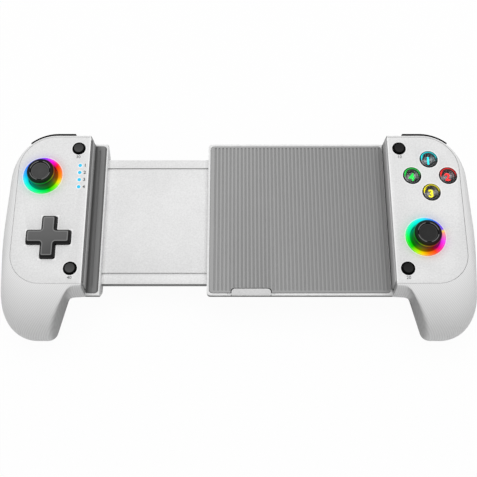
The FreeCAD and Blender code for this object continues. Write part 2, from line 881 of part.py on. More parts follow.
def ribbed_mat(x0, x1, y0, y1, ribs):
    # rubber mat with grooves along Y that stop short of its edges
    top = -mat_plane
    mat = slab(rectangle(x0, x1, y0, y1), [mat_corner] * 4, top - mat_thick, top)
    pitch = (x1 - x0 - 2 * rib_margin) / ribs
    half = pitch * rib_share / 2
    grooves = []
    for i in range(ribs + 1):
        x = x0 + rib_margin + pitch * i
        grooves.append(box(x - half, x + half, y0 + rib_margin, y1 - rib_margin, top - rib_depth, top + past))
    return mat.cut(grooves)


def base_mat():
    mat = ribbed_mat(base_left + mat_inset, wall_x - pad_thick - mat_gap,
                     base_front + mat_inset, base_back - mat_inset, mat_ribs)
    corners = rectangle(lip_left - lip_gap, lip_right + lip_gap,
                        base_front, base_front + lip_reach + 2 * lip_gap)
    notch = slab(corners, [0, 0, lip_corner, lip_corner], -mat_plane - mat_thick - past, 0)
    return mat.cut(notch)


def wall_pad():
    y0 = plate_bottom + pad_end
    y1 = plate_top - pad_end
    high = -pad_high
    low = -mat_plane + pad_low
    corners = [(y0 - pad_flare, low), (y1 + pad_flare, low), (y1, high), (y0, high)]
    return side_slab(corners, [pad_corner] * 4, wall_x - pad_thick, wall_x)


def lip_pin_along(radius, out):
    # pin or bore along the lip's front edge, out beyond both sides of its opening
    start = at(lip_left - out, base_front + lip_pin_y, -mat_plane - lip_thick / 2 - lip_sunk)
    return Part.makeCylinder(radius, lip_right - lip_left + 2 * out, start, at(1, 0, 0))


def phone_lip():
    top = -mat_plane - lip_sunk
    lip = slab(rectangle(lip_left + move_gap, lip_right - move_gap, base_front, base_front + lip_reach),
               [lip_front_round, lip_front_round, lip_corner, lip_corner], top - lip_thick, top)
    return fused([lip, lip_pin_along(lip_pin, lip_pin_out)])


def clamp_ledge():
    # ledge at the foot of the left clamp wall, in line with the base
    inner = wall_x - clamp_width
    body = base_section(inner, wall_x)
    body = body.cut(box(inner - past, inner + slider_seat, slider_front, slider_back,
                        -slider_top - slider_thick, -slider_top))
    corners = rectangle(inner + ledge_rim - plate_gap, wall_x - ledge_wall_gap,
                        base_front + mat_inset - plate_gap, base_back - mat_inset + plate_gap)
    recess = slab(corners, [mat_corner] * 4, -mat_plane - mat_thick, 0)
    return body.cut(recess)


def clamp_pad():
    inner = wall_x - clamp_width + ledge_rim
    x1 = wall_x - ledge_wall_gap - mat_gap
    top = -mat_plane
    pad = slab(rectangle(inner, x1, base_front + mat_inset, base_back - mat_inset),
               [mat_corner] * 4, top - mat_thick, top)
    middle = (inner + x1) / 2
    near, far = ledge_grooves
    grooves = []
    for x0 in (middle - far, middle + near):
        grooves.append(box(x0, x0 + far - near, base_front + ledge_groove_end,
                           base_back - ledge_groove_end, top - rib_depth, 0))
    return pad.cut(grooves)


def slider_plate():
    # telescopic tongue: grooved skin over cells, with a hook each side at its inner end
    x0 = -(wall_x - clamp_width + slider_seat)
    top = -slider_top
    bottom = top - slider_thick
    plate_solid = box(x0, slider_end, slider_front, slider_back, bottom, top)
    hook_length = slider_end - (base_left + mouth + slide_out + move_gap)
    hooks = box(slider_end - hook_length, slider_end, slider_front - hook_out, slider_back + hook_out,
                bottom, top)
    plate_solid = plate_solid.fuse(hooks)
    cell = (slider_back - slider_front - slider_rib) / slider_cells
    cuts = []
    for i in range(slider_cells):
        y = slider_front + slider_rib + cell * i
        cuts.append(box(x0 + slider_seat + slider_solid, slider_end - slider_rib, y, y + cell - slider_rib,
                        bottom - past, top - slider_skin))
    half = groove_width / 2
    for y in guide_places():
        cuts.append(box(x0 - past, slider_end + past, y - half, y + half, top - groove_depth, top + past))
    return plate_solid.cut(cuts)


# battery and charging port

def battery():
    corners = rectangle(battery_x, battery_x + battery_wide, battery_y, battery_y + battery_long)
    return slab(corners, [battery_round] * 4, floor_z, floor_z + battery_high)


def stadium(width, high, y0, y1):
    # prism along Y with half-round ends
    x0 = port_x - width / 2
    solid = slab(rectangle(x0, x0 + width, 0, high), [high / 2 - end_flat] * 4, 0, y1 - y0)
    solid.rotate(at(0, 0, 0), at(1, 0, 0), 90)
    return moved(solid, 0, y1, -port_depth - high / 2)


def port_hole():
    return stadium(port_width + 2 * plate_gap, port_high + 2 * plate_gap,
                   grip_tip - port_hole_reach, grip_tip + wall + port_hole_reach)


def usb_port():
    mouth_y = grip_tip + port_inset
    case = stadium(port_width, port_high, mouth_y, mouth_y + port_long)
    hollow = stadium(port_width - 2 * port_skin, port_high - 2 * port_skin, mouth_y - past,
                     mouth_y + port_long - port_back)
    half = port_width / 2 - tongue_side
    tongue = box(port_x - half, port_x + half, mouth_y + tongue_front, mouth_y + port_long - tongue_back,
                 -port_depth - port_tongue / 2, -port_depth + port_tongue / 2)
    return case.cut(hollow).fuse(tongue)


def port_plane():
    return -port_depth - port_high / 2


def usb_board():
    front = grip_tip + wall + port_board_in
    corners = rectangle(port_x - port_board_left, port_x + port_board_right, front, front + port_board_long)
    return slab(corners, [port_board_round] * 4, port_plane() - port_board, port_plane())


def port_rib():
    front = grip_tip + wall + port_rib_in
    return box(port_x - port_rib_left, port_x + port_rib_right, front, front + port_rib_long,
               -back_depth + port_rib_bite, port_plane() - port_board)


def plate_hole(x, y, radius):
    return disc(x, y, -hole_reach, past, radius)


def build():
    # every sub-part by name, still with the face at Z = 0
    parts = {}
    buttons = cluster_places()
    small = [(small_x, small_top_y), (small_x, small_low_y)]
    small_holes = [plate_hole(x, y, small_hole) for x, y in small]

    right_holes = [plate_hole(x, y, button_hole) for x, y in buttons]
    right_holes.append(plate_hole(low_stick[0], low_stick[1], ring_radius))
    parts["right_faceplate"] = face_plate(right_holes + small_holes)
    parts["right_grip_shell"] = grip_shell(buttons)

    grow = 2 * move_gap
    well = cross(pad_span + grow, pad_arm + grow, -hole_reach, past, pad_round, pad_well_round)
    left_holes = [plate_hole(x, y, lamp_radius + pin_gap) for x, y in lamp_places()]
    left_holes += [plate_hole(high_stick[0], high_stick[1], ring_radius), moved(well, pad_at[0], pad_at[1])]
    parts["left_faceplate"] = mirrored(face_plate(left_holes + small_holes))
    left_shell = grip_shell([])
    port_post = port_rib().common(grip_form())
    left_shell = left_shell.fuse(port_post).cut(port_hole())
    parts["left_grip_shell"] = mirrored(left_shell)

    small_top = button_switch_top(small_travel)
    small_places = [(x, y, small_top) for x, y in small]
    button_top = button_switch_top(button_travel)
    switch_places = {
        "right": small_places + [(x, y, button_top) for x, y in buttons],
        "left": small_places + pad_switch_places(),
    }
    for side, place in (("right", low_stick), ("left", high_stick)):
        modules = {
            "stick_frame": stick_frame(),
            "stick_gimbal": stick_gimbal(),
            "stick_hub": stick_hub(),
            "stick_cap": stick_cap(),
        }
        pieces = {name: moved(solid, place[0], place[1], pivot_z) for name, solid in modules.items()}
        pieces["light_ring"] = moved(stick_ring(), place[0], place[1])
        pieces["wall_pad"] = wall_pad()
        pieces["screws"] = shell_screws()
        pieces["circuit_board"] = circuit_board()
        pieces["tact_switches"] = tact_switches(switch_places[side])
        pieces["bumper"] = bumper()
        pieces["trigger"] = trigger()
        pieces["trigger_axle"] = trigger_axle()
        for name, solid in pieces.items():
            parts[side + "_" + name] = solid if side == "right" else mirrored(solid)

    names = ["top", "right", "bottom", "left"]
    for name, (x, y) in zip(names, buttons):
        button = round_button(button_radius, button_proud, button_bevel, button_flange)
        parts["face_button_" + name] = moved(button, x, y)
    small_button = round_button(small_radius, small_proud, small_bevel, small_flange)
    parts["start_button"] = moved(small_button, small_x, small_top_y)
    parts["home_button"] = moved(small_button, small_x, small_low_y)
    parts["select_button"] = mirrored(parts["start_button"])
    parts["turbo_button"] = mirrored(parts["home_button"])

    parts["direction_pad"] = mirrored(direction_pad())
    parts["direction_pad_pivot"] = mirrored(pad_pivot())
    parts["direction_pad_yoke"] = mirrored(pad_yoke())
    parts["indicator_lamps"] = mirrored(indicator_lamps())

    parts["base_housing"] = base_housing()
    parts["base_cover"] = base_cover()
    parts["base_mat"] = base_mat()
    parts["phone_lip"] = phone_lip()
    parts["slider_plate"] = slider_plate()
    parts["clamp_ledge"] = mirrored(clamp_ledge())
    parts["clamp_pad"] = mirrored(clamp_pad())
    parts["battery"] = mirrored(battery())
    parts["usb_port"] = mirrored(usb_port())
    parts["usb_board"] = mirrored(usb_board())
    return parts


def origin_shift(parts):
    # the controller's bottom centre, from the exact bounds of all its pieces
    bounds = FreeCAD.BoundBox()
    for solid in parts.values():
        bounds.add(solid.optimalBoundingBox(False))
    return at(-bounds.Center.x, -bounds.Center.y, -bounds.ZMin)


def main():
    os.makedirs("parts", exist_ok=True)
    parts = build()
    shift = origin_shift(parts)
    for name, solid in parts.items():
        solid.translate(shift)
        solid.exportStep("parts/" + name + ".step")


if __name__ == "__main__":
    main()
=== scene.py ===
import json
import math

import bmesh
import bpy
from mathutils import Matrix, Vector


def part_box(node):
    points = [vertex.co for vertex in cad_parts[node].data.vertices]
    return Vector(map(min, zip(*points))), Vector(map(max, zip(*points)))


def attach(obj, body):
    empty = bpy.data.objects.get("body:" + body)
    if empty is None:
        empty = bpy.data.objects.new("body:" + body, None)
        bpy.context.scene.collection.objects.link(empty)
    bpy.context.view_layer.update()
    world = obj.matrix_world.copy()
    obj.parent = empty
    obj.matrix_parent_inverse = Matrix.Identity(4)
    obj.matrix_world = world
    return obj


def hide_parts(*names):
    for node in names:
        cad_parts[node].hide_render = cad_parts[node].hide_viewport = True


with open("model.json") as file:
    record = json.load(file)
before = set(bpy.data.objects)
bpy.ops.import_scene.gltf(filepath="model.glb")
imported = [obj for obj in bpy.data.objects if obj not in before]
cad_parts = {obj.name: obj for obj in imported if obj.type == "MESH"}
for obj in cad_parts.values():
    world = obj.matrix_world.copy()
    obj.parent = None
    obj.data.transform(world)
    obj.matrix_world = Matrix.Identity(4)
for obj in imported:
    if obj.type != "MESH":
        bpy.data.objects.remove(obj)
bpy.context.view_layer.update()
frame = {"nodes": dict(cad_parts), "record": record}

# The game controller is dressed in millimetres on its face: X right, Y away from the
# player, Z out of the face plates' top. onFace() turns that into the model's metres.
mm = 0.001
plateTop = 61.1
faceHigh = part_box("right_faceplate")[1]
faceOrigin = Vector((0, faceHigh.y - plateTop * mm, faceHigh.z))


def onFace(x, y, z=0.0):
    return Vector((x, y, z)) * mm + faceOrigin


def tone(red, green, blue):
    # display values 0 to 255 as a linear colour
    def linear(value):
        value = value / 255
        return value / 12.92 if value <= 0.04045 else ((value + 0.055) / 1.055) ** 2.4
    return (linear(red), linear(green), linear(blue), 1.0)


def grey(value):
    return tone(value, value, value)


black = grey(0)
white = grey(255)


class Reading:
    # a node's output that can stand in a sum
    def __init__(self, graph, socket):
        self.graph = graph
        self.socket = socket

    def maths(self, operation, first, second=0.0):
        return self.graph.node("ShaderNodeMath", {"operation": operation}, {0: first, 1: second})

    def __add__(self, other):
        return self.maths("ADD", self, other)

    __radd__ = __add__

    def __sub__(self, other):
        return self.maths("SUBTRACT", self, other)

    def __rsub__(self, other):
        return self.maths("SUBTRACT", other, self)

    def __mul__(self, other):
        return self.maths("MULTIPLY", self, other)

    __rmul__ = __mul__

    def __truediv__(self, other):
        return self.maths("DIVIDE", self, other)

    def __pow__(self, other):
        return self.maths("POWER", self, other)

    def __gt__(self, other):
        return self.maths("GREATER_THAN", self, other)


class Finish:
    # one material, or the world, and its node tree
    def __init__(self, name, world=False):
        self.owner = bpy.data.worlds.new(name) if world else bpy.data.materials.new(name)
        self.output = "ShaderNodeOutputWorld" if world else "ShaderNodeOutputMaterial"
        self.owner.use_nodes = True
        self.tree = self.owner.node_tree
        self.tree.nodes.clear()

    def node(self, kind, settings=None, sockets=None, out=0):
        made = self.tree.nodes.new(kind)
        for key, value in (settings or {}).items():
            if key == "stops":
                self.setStops(made.color_ramp, value)
            else:
                setattr(made, key, value)
        for key, value in (sockets or {}).items():
            if isinstance(value, Reading):
                self.tree.links.new(value.socket, made.inputs[key])
            else:
                made.inputs[key].default_value = value
        return Reading(self, made.outputs[out])

    def setStops(self, ramp, stops):
        while len(ramp.elements) > 1:
            ramp.elements.remove(ramp.elements[0])
        ramp.elements[0].position, ramp.elements[0].color = stops[0]
        for place, colour in stops[1:]:
            ramp.elements.new(place).color = colour

    def place(self):
        # where the surface point is on the piece, in metres
        return self.node("ShaderNodeTexCoord", out=3)

    def normal(self):
        # the surface's direction in the piece's own axes
        return self.node("ShaderNodeTexCoord", out=1)

    def axes(self, vector):
        first = self.node("ShaderNodeSeparateXYZ", None, {0: vector})
        return [Reading(self, socket) for socket in first.socket.node.outputs]

    def reach(self, x, y):
        return x.maths("SQRT", x * x + y * y)

    def between(self, value, start, end, smooth=False):
        # nought at the start, one at the end, and held there
        settings = {"interpolation_type": "SMOOTHSTEP"} if smooth else None
        return self.node("ShaderNodeMapRange", settings, {"Value": value, 1: start, 2: end})

    def ramp(self, factor, stops):
        return self.node("ShaderNodeValToRGB", {"stops": stops}, {"Fac": factor})

    def noise(self, vector, scale, detail=2.0, roughness=0.5):
        return self.node("ShaderNodeTexNoise", None,
                         {"Vector": vector, "Scale": scale, "Detail": detail, "Roughness": roughness})

    def mix(self, factor, first, second, blend="MIX"):
        return self.node("ShaderNodeMix", {"data_type": "RGBA", "blend_type": blend},
                         {0: factor, 6: first, 7: second}, out=2)

    def bump(self, height, distance, strength=1.0):
        return self.node("ShaderNodeBump", None,
                         {"Height": height, "Distance": distance, "Strength": strength})

    def shader(self, **sockets):
        words = {"baseColor": "Base Color", "roughness": "Roughness", "metallic": "Metallic",
                 "normal": "Normal", "coat": "Coat Weight", "coatRoughness": "Coat Roughness",
                 "emission": "Emission Color", "glow": "Emission Strength",
                 "specular": "Specular IOR Level"}
        return self.node("ShaderNodeBsdfPrincipled", None,
                         {words[key]: value for key, value in sockets.items()})

    def done(self, shader):
        made = self.tree.nodes.new(self.output)
        self.tree.links.new(shader.socket, made.inputs["Surface"])
        return self.owner

    def surface(self, **sockets):
        return self.done(self.shader(**sockets))


# colours of the light rings by angle, in degrees anticlockwise from the right
ringHues = {
    "left": [(-180, (0, 190, 255)), (-165, (0, 235, 255)), (-135, (0, 255, 200)), (-98, (0, 255, 120)),
             (-62, (0, 225, 10)), (-38, (130, 250, 0)), (-22, (250, 235, 0)), (-6, (255, 150, 0)),
             (14, (255, 115, 0)), (30, (255, 70, 0)), (38, (255, 15, 30)), (48, (255, 0, 150)),
             (64, (250, 0, 240)), (84, (150, 30, 255)),
             (115, (70, 50, 255)), (148, (0, 110, 255)), (172, (0, 170, 255)), (180, (0, 190, 255))],
    "right": [(-180, (0, 255, 80)), (-160, (0, 235, 20)), (-143, (20, 220, 0)), (-122, (180, 250, 0)),
              (-105, (255, 215, 0)), (-83, (255, 130, 0)), (-60, (255, 60, 20)), (-44, (255, 0, 140)),
              (-16, (250, 50, 250)), (0, (240, 110, 190)), (12, (255, 150, 130)), (19, (250, 215, 60)),
              (25, (120, 60, 235)), (56, (0, 80, 235)),
              (72, (0, 150, 255)), (96, (0, 240, 255)), (125, (0, 255, 225)), (155, (0, 255, 170)),
              (180, (0, 255, 80))],
}


def ringColour(finish, x, y, side):
    # colour of the ring's lamps in the direction of a point
    turn = x.maths("ARCTAN2", y, x) / (2 * math.pi) + 0.5
    return finish.ramp(turn, [((angle + 180) / 360, tone(*colour)) for angle, colour in ringHues[side]])


def rimWindow(finish, distance, width):
    # one on an edge's bevel, zero beyond its width in mm, for the painted bevel highlight
    return finish.between(distance, width * mm, width * 0.35 * mm, smooth=True)


def plateEdges(finish, x, y, edges):
    # how near a point is to the bevel of a hole, of the cross or of the clamp wall, for a painted highlight
    # along these bevels
    near = rimWindow(finish, x.maths("ABSOLUTE", x - edges["wall"]), 0.75)
    for centre, radius in edges["holes"]:
        gap = finish.reach(x - centre.x, y - centre.y) - radius * mm
        near = x.maths("MAXIMUM", near, rimWindow(finish, gap, 0.8))
    if "cross" in edges:
        centre, span, arm = edges["cross"]
        dx = x.maths("ABSOLUTE", x - centre.x)
        dy = x.maths("ABSOLUTE", y - centre.y)
        along = x.maths("MAXIMUM", dx - span * mm, dy - arm * mm)
        across = x.maths("MAXIMUM", dx - arm * mm, dy - span * mm)
        near = x.maths("MAXIMUM", near, rimWindow(finish, x.maths("MINIMUM", along, across), 1.0))
    return near


def satinPlastic(name, value, grain=0.05, roughness=0.42, shadedSideValue=None, foot=None, edges=None, ring=None):
    # smooth moulded white with a fine spark-eroded grain; it can have painted shade on its sides, a dark
    # foot of painted shade, painted highlights on its bevels, and painted light tinted from a light ring
    finish = Finish(name)
    spot = finish.place()
    x, y, z = finish.axes(spot)
    fine = finish.noise(spot, 1150.0, 3.0, 0.6)
    broad = finish.noise(spot, 42.0, 2.0)
    base = finish.mix(fine * 0.7 + broad * 0.3, grey(value - 28), grey(value + 24))
    sideways, ahead, upward = finish.axes(finish.normal())
    # painted shade: surfaces that do not face up are darker
    if shadedSideValue:
        base = finish.mix(finish.between(upward, 0.6, 0.2), base, grey(shadedSideValue))
    # painted shade: a darker foot below a height, on the front and back but not the ends
    if foot:
        low = finish.between(z, foot["top"], foot["top"] - 0.4 * mm)
        ends = sideways.maths("ABSOLUTE", sideways) > 0.6
        base = finish.mix(low * (1 - ends), base, grey(foot["value"]))
    # painted highlight along the bevels of the holes, the cross and the clamp wall
    if edges:
        base = finish.mix(plateEdges(finish, x, y, edges) * 0.9, base, grey(254))
    # painted light: the light ring's colour tinted onto the plate, fading away from the ring
    if ring:
        side, centre, edge = ring
        dx = x - centre.x
        dy = y - centre.y
        fall = x.maths("MAXIMUM", 1 - (finish.reach(dx, dy) - edge) / (6.2 * mm), 0.0) ** 2.4
        glow = finish.mix(0.28, white, ringColour(finish, dx, dy, side))
        base = finish.mix(fall * 0.78, base, finish.mix(1.0, base, glow, "MULTIPLY"))
    return finish.surface(baseColor=base, roughness=roughness + (fine - 0.5) * 0.12, specular=0.4,
                          normal=finish.bump(fine, grain * mm, 0.35))


gripTexture = {"pitch": 0.95, "depth": 0.06, "centreX": 176.0, "centreY": 22.0, "value": 233, "shadedFlank": 120}


def ribbedPlastic(name, side):
    # grip white with fine moulded ribs that sweep round the hand, with painted shade in the ribs' grooves and
    # on the inner flank
    finish = Finish(name)
    spot = finish.place()
    x, y, z = finish.axes(spot)
    centre = onFace(side * gripTexture["centreX"], gripTexture["centreY"])
    reach = finish.reach(x - centre.x, y - centre.y)
    wave = x.maths("SINE", reach * (2 * math.pi / (gripTexture["pitch"] * mm))) * 0.5 + 0.5
    fine = finish.noise(spot, 2400.0, 2.0, 0.6)
    broad = finish.noise(spot, 30.0, 2.0)
    value = gripTexture["value"]
    base = finish.mix(broad, grey(value - 4), grey(value + 2))
    # painted shade in the grooves between the ribs
    base = finish.mix(0.24 * (1 - wave) ** 2, base, grey(value - 60))
    # painted shade on the inner flank, the sides that face in towards the clamp
    shadedFlank = finish.between(finish.axes(finish.normal())[0] * -side, 0.1, 0.9, smooth=True)
    base = finish.mix(shadedFlank * 0.6, base, grey(gripTexture["shadedFlank"]))
    return finish.surface(baseColor=base, roughness=0.5 + (fine - 0.5) * 0.15, specular=0.35,
                          normal=finish.bump(wave + fine * 0.25, gripTexture["depth"] * mm, 0.6))


def rubber(name, value, roughness=0.72, grain=0.05, bands=None, fade=None):
    # matt rubber with dust-fine speckle, bands of shade across it or up it, and a fade to one side
    finish = Finish(name)
    spot = finish.place()
    fine = finish.noise(spot, 1900.0, 4.0, 0.65)
    broad = finish.noise(spot, 60.0, 2.0)
    base = finish.mix(fine * 0.6 + broad * 0.4, grey(value - 7), grey(value + 7))
    if bands:
        way = finish.axes(spot)[bands.get("axis", 2)]
        height = (way - bands["low"]) / (bands["high"] - bands["low"])
        dark = finish.ramp(height, [(place, (share, share, share, 1)) for place, share in bands["shares"]])
        base = finish.mix(1.0, base, dark, "MULTIPLY")
    if fade:
        across = finish.between(finish.axes(spot)[0], fade["from"] * mm, fade["to"] * mm)
        base = finish.mix(across * fade["share"], base, grey(fade["value"]))
    return finish.surface(baseColor=base, roughness=roughness + (fine - 0.5) * 0.16, specular=0.3,
                          normal=finish.bump(fine, grain * mm, 0.5))


def darkPlastic(name, value, roughness=0.35, grain=0.03, specular=0.5):
    # black moulding with a fine grain
    finish = Finish(name)
    spot = finish.place()
    fine = finish.noise(spot, 2200.0, 3.0, 0.6)
    broad = finish.noise(spot, 90.0, 2.0)
    base = finish.mix(fine * 0.5 + broad * 0.5, grey(max(value - 5, 0)), grey(value + 5))
    return finish.surface(baseColor=base, roughness=roughness + (broad - 0.5) * 0.1, specular=specular,
                          normal=finish.bump(fine, grain * mm, 0.4))


def lampColour(name, colour, strength):
    # glowing colour, a little uneven as a lamp behind plastic is; a real lamp for the indicator lamps,
    # painted glow for the face buttons' figures and arcs
    finish = Finish(name)
    uneven = finish.noise(finish.place(), 420.0, 2.0)
    dim = tuple(part * 0.82 for part in tone(*colour)[:3]) + (1.0,)
    light = finish.mix(uneven, dim, tone(*colour))
    return finish.surface(baseColor=finish.mix(0.9, light, black), emission=light, glow=strength,
                          roughness=0.3, specular=0.3)


def brushedMetal(name, value, roughness=0.3, along=(1.0, 30.0, 30.0)):
    finish = Finish(name)
    stretched = finish.node("ShaderNodeMapping", None, {"Vector": finish.place(), "Scale": along})
    streaks = finish.noise(stretched, 160.0, 3.0, 0.6)
    base = finish.mix(streaks, grey(value - 18), grey(value + 12))
    return finish.surface(baseColor=base, metallic=1.0, roughness=roughness + streaks * 0.15,
                          normal=finish.bump(streaks, 0.01 * mm, 0.4))


def newObject(name, data):
    made = bpy.data.objects.new(name, data)
    bpy.context.scene.collection.objects.link(made)
    return made


def smoothAgain(piece, smoothAngle=38):
    piece.data.shade_smooth()
    piece.data.set_sharp_from_angle(angle=math.radians(smoothAngle))


def addPiece(name, mesh, material, place=None, smoothAngle=38):
    # one visible piece, moved to its place on the face if it is drawn about its own axis
    mesh.materials.clear()
    mesh.materials.append(material)
    piece = newObject(name, mesh)
    smoothAgain(piece, smoothAngle)
    if place:
        piece.location = onFace(*place)
    return piece


def settle(piece, body, slot, *nodes):
    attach(piece, body)
    if nodes:
        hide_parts(*nodes)


def meshOf(name, points, faces):
    mesh = bpy.data.meshes.new(name)
    mesh.from_pydata(points, [], faces)
    mesh.validate()
    shape = bmesh.new()
    shape.from_mesh(mesh)
    bmesh.ops.recalc_face_normals(shape, faces=shape.faces)
    shape.to_mesh(mesh)
    shape.free()
    return mesh


def applyModifiers(piece):
    graph = bpy.context.evaluated_depsgraph_get()
    mesh = bpy.data.meshes.new_from_object(piece.evaluated_get(graph))
    old = piece.data
    piece.modifiers.clear()
    piece.data = mesh
    bpy.data.meshes.remove(old)


def carve(piece, cutter):
    # boolean with a helper solid, which is then thrown away
    tool = newObject("tool", cutter)
    modifier = piece.modifiers.new("carve", "BOOLEAN")
    modifier.operation = "DIFFERENCE"
    modifier.solver = "EXACT"
    modifier.object = tool
    applyModifiers(piece)
    bpy.data.objects.remove(tool)
    bpy.data.meshes.remove(cutter)


def roundEdges(piece, width, segments=2):
    modifier = piece.modifiers.new("round", "BEVEL")
    modifier.width = width * mm
    modifier.segments = segments
    modifier.limit_method = "ANGLE"
    modifier.angle_limit = math.radians(30)
    applyModifiers(piece)


def roundedOutline(corners, rounds, steps=8):
    # points round a polygon whose corners are arcs
    points = []
    for i, (corner, radius) in enumerate(zip(corners, rounds)):
        here = Vector(corner)
        if radius <= 0:
            points.append(here)
            continue
        back = (Vector(corners[i - 1]) - here).normalized()
        ahead = (Vector(corners[(i + 1) % len(corners)]) - here).normalized()
        half = back.angle(ahead) / 2
        middle = here + (back + ahead).normalized() * (radius / math.sin(half))
        first = here + back * (radius / math.tan(half)) - middle
        sweep = math.pi - 2 * half
        side = 1 if back.x * ahead.y - back.y * ahead.x < 0 else -1
        for step in range(steps + 1):
            turn = side * sweep * step / steps
            points.append(middle + Matrix.Rotation(turn, 2) @ first)
    return points


def ringsMesh(name, rings):
    # solid through rings of as many points each, flat at both ends
    faces = []
    count = len(rings[0])
    last = (len(rings) - 1) * count
    for low in range(0, last, count):
        for i in range(count):
            after = (i + 1) % count
            faces.append((low + i, low + after, low + count + after, low + count + i))
    faces += [tuple(range(count)), tuple(range(last, last + count))]
    return meshOf(name, [point for ring in rings for point in ring], faces)


def stackMesh(name, levels):
    # solid through level outlines, each with its height in mm
    return ringsMesh(name, [[onFace(x, y, height) for x, y in outline] for outline, height in levels])


def prism(outline, low, high):
    return stackMesh("prism", [(outline, low), (outline, high)])


def rectangle(x0, x1, y0, y1):
    return [(x0, y0), (x1, y0), (x1, y1), (x0, y1)]


def circle(x, y, radius, steps=40):
    return [Vector((x + radius * math.cos(2 * math.pi * i / steps),
                    y + radius * math.sin(2 * math.pi * i / steps))) for i in range(steps)]


def lathe(name, profile, steps=96):
    # solid of revolution about its own axis, profile in mm from (radius, height)
    points = []
    faces = []
    rings = []
    for radius, height in profile:
        if radius < 1e-6:
            rings.append([len(points)])
            points.append(Vector((0, 0, height)) * mm)
            continue
        rings.append(range(len(points), len(points) + steps))
        for i in range(steps):
            turn = 2 * math.pi * i / steps
            points.append(Vector((radius * math.cos(turn), radius * math.sin(turn), height)) * mm)
    for first, second in zip(rings, rings[1:] + rings[:1]):
        for i in range(steps):
            after = (i + 1) % steps
            if len(first) == 1 and len(second) == 1:
                break
            if len(first) == 1:
                faces.append((first[0], second[after], second[i]))
            elif len(second) == 1:
                faces.append((first[i], first[after], second[0]))
            else:
                faces.append((first[i], first[after], second[after], second[i]))
    return meshOf(name, points, faces)


def arcTube(name, start, end, steps, count, section):
    # tube along an arc in degrees, whose section gives its reach and height in mm from the
    # share of the way and the angle round the tube
    rings = []
    for i in range(steps + 1):
        turn = math.radians(start + (end - start) * i / steps)
        ring = []
        for j in range(count):
            reach, high = section(i / steps, 2 * math.pi * j / count)
            ring.append(Vector((reach * math.cos(turn), reach * math.sin(turn), high)) * mm)
        rings.append(ring)
    return ringsMesh(name, rings)


def joined(name, meshes):
    points = []
    faces = []
    for mesh in meshes:
        start = len(points)
        points += [vertex.co.copy() for vertex in mesh.vertices]
        faces += [tuple(start + index for index in face.vertices) for face in mesh.polygons]
        bpy.data.meshes.remove(mesh)
    return meshOf(name, points, faces)


bodies = {node: body for body, members in frame["record"]["behaviour"]["bodies"].items()
          for node in members}
slots = {part["node"]: part["material_slot"] for part in frame["record"]["subparts"]}


def dress(node, name, material, width, segments=2):
    # the frame's own solid in its place, with its edges rounded as a moulding's are
    shape = bmesh.new()
    shape.from_mesh(frame["nodes"][node].data)
    bmesh.ops.remove_doubles(shape, verts=shape.verts, dist=2e-6)
    bmesh.ops.dissolve_limit(shape, angle_limit=math.radians(0.5), verts=shape.verts, edges=shape.edges)
    shape.verts.ensure_lookup_table()
    points = [vertex.co.copy() for vertex in shape.verts]
    faces = [tuple(vertex.index for vertex in face.verts) for face in shape.faces]
    shape.free()
    piece = addPiece(name, meshOf(name, points, faces), material)
    roundEdges(piece, width, segments)
    smoothAgain(piece)
    settle(piece, bodies[node], slots[node], node)


sides = {"right": 1, "left": -1}
sticks = {"right": (101.0, 1.0), "left": (-109.2, 37.2)}
ringSize = {"outer": 10.88, "bore": 8.2, "top": 0.3}

print("stage: face plates")
platePlastic = {"value": 229, "wall": 83.9, "smallHole": 3.8, "buttonHole": 5.1, "lampHole": 0.95,
                "crossSpan": 12.3, "crossArm": 4.25}
smallPlaces = {"start": (90.2, 54.0), "home": (90.2, -16.9), "select": (-90.2, 54.0), "turbo": (-90.2, -16.9)}
clusterPlaces = {"top": (106.4, 47.3), "right": (116.4, 37.3), "bottom": (106.4, 27.3), "left": (96.4, 37.3)}
padPlace = (-103.0, 0.6)
lampPlaces = [(-88.8, 30.5 + 4.33 * i) for i in range(4)]
for side, sign in sides.items():
    holes = [(onFace(*sticks[side]), ringSize["outer"])]
    holes += [(onFace(x, y), platePlastic["smallHole"]) for x, y in smallPlaces.values() if x * sign > 0]
    holes += [(onFace(x, y), platePlastic["buttonHole"]) for x, y in clusterPlaces.values() if x * sign > 0]
    edges = {"wall": sign * platePlastic["wall"] * mm, "holes": holes}
    if side == "left":
        holes += [(onFace(x, y), platePlastic["lampHole"]) for x, y in lampPlaces]
        edges["cross"] = (onFace(*padPlace), platePlastic["crossSpan"], platePlastic["crossArm"])
    # the plate's finish carries painted highlights on its bevels and painted light from its stick's ring
    material = satinPlastic(side + "Plate", platePlastic["value"], edges=edges,
                            ring=(side, onFace(*sticks[side]), ringSize["outer"] * mm))
    dress(side + "_faceplate", side + "FacePlate", material, 0.3, 3)


print("stage: grip shells")
grip = {
    "wallX": platePlastic["wall"], "plateWidth": 39.0, "top": plateTop, "low": -25.2,
    "topRound": 20.0, "lowRound": 17.0, "rim": 0.8, "bulge": 6.55, "bulgeDepth": 14.0,
    "topBulge": 1.6, "tipReach": 24.57, "tipDepth": 24.0,
    "tipInner": 32.8, "neckInner": 35.5, "backDepth": 35.5, "backInset": 8.2, "baseDepth": 24.0,
    "edgeDepth": 16.0, "edgeSlant": 0.45, "wall": 2.0, "levels": 34, "hollowLevels": 10,
}


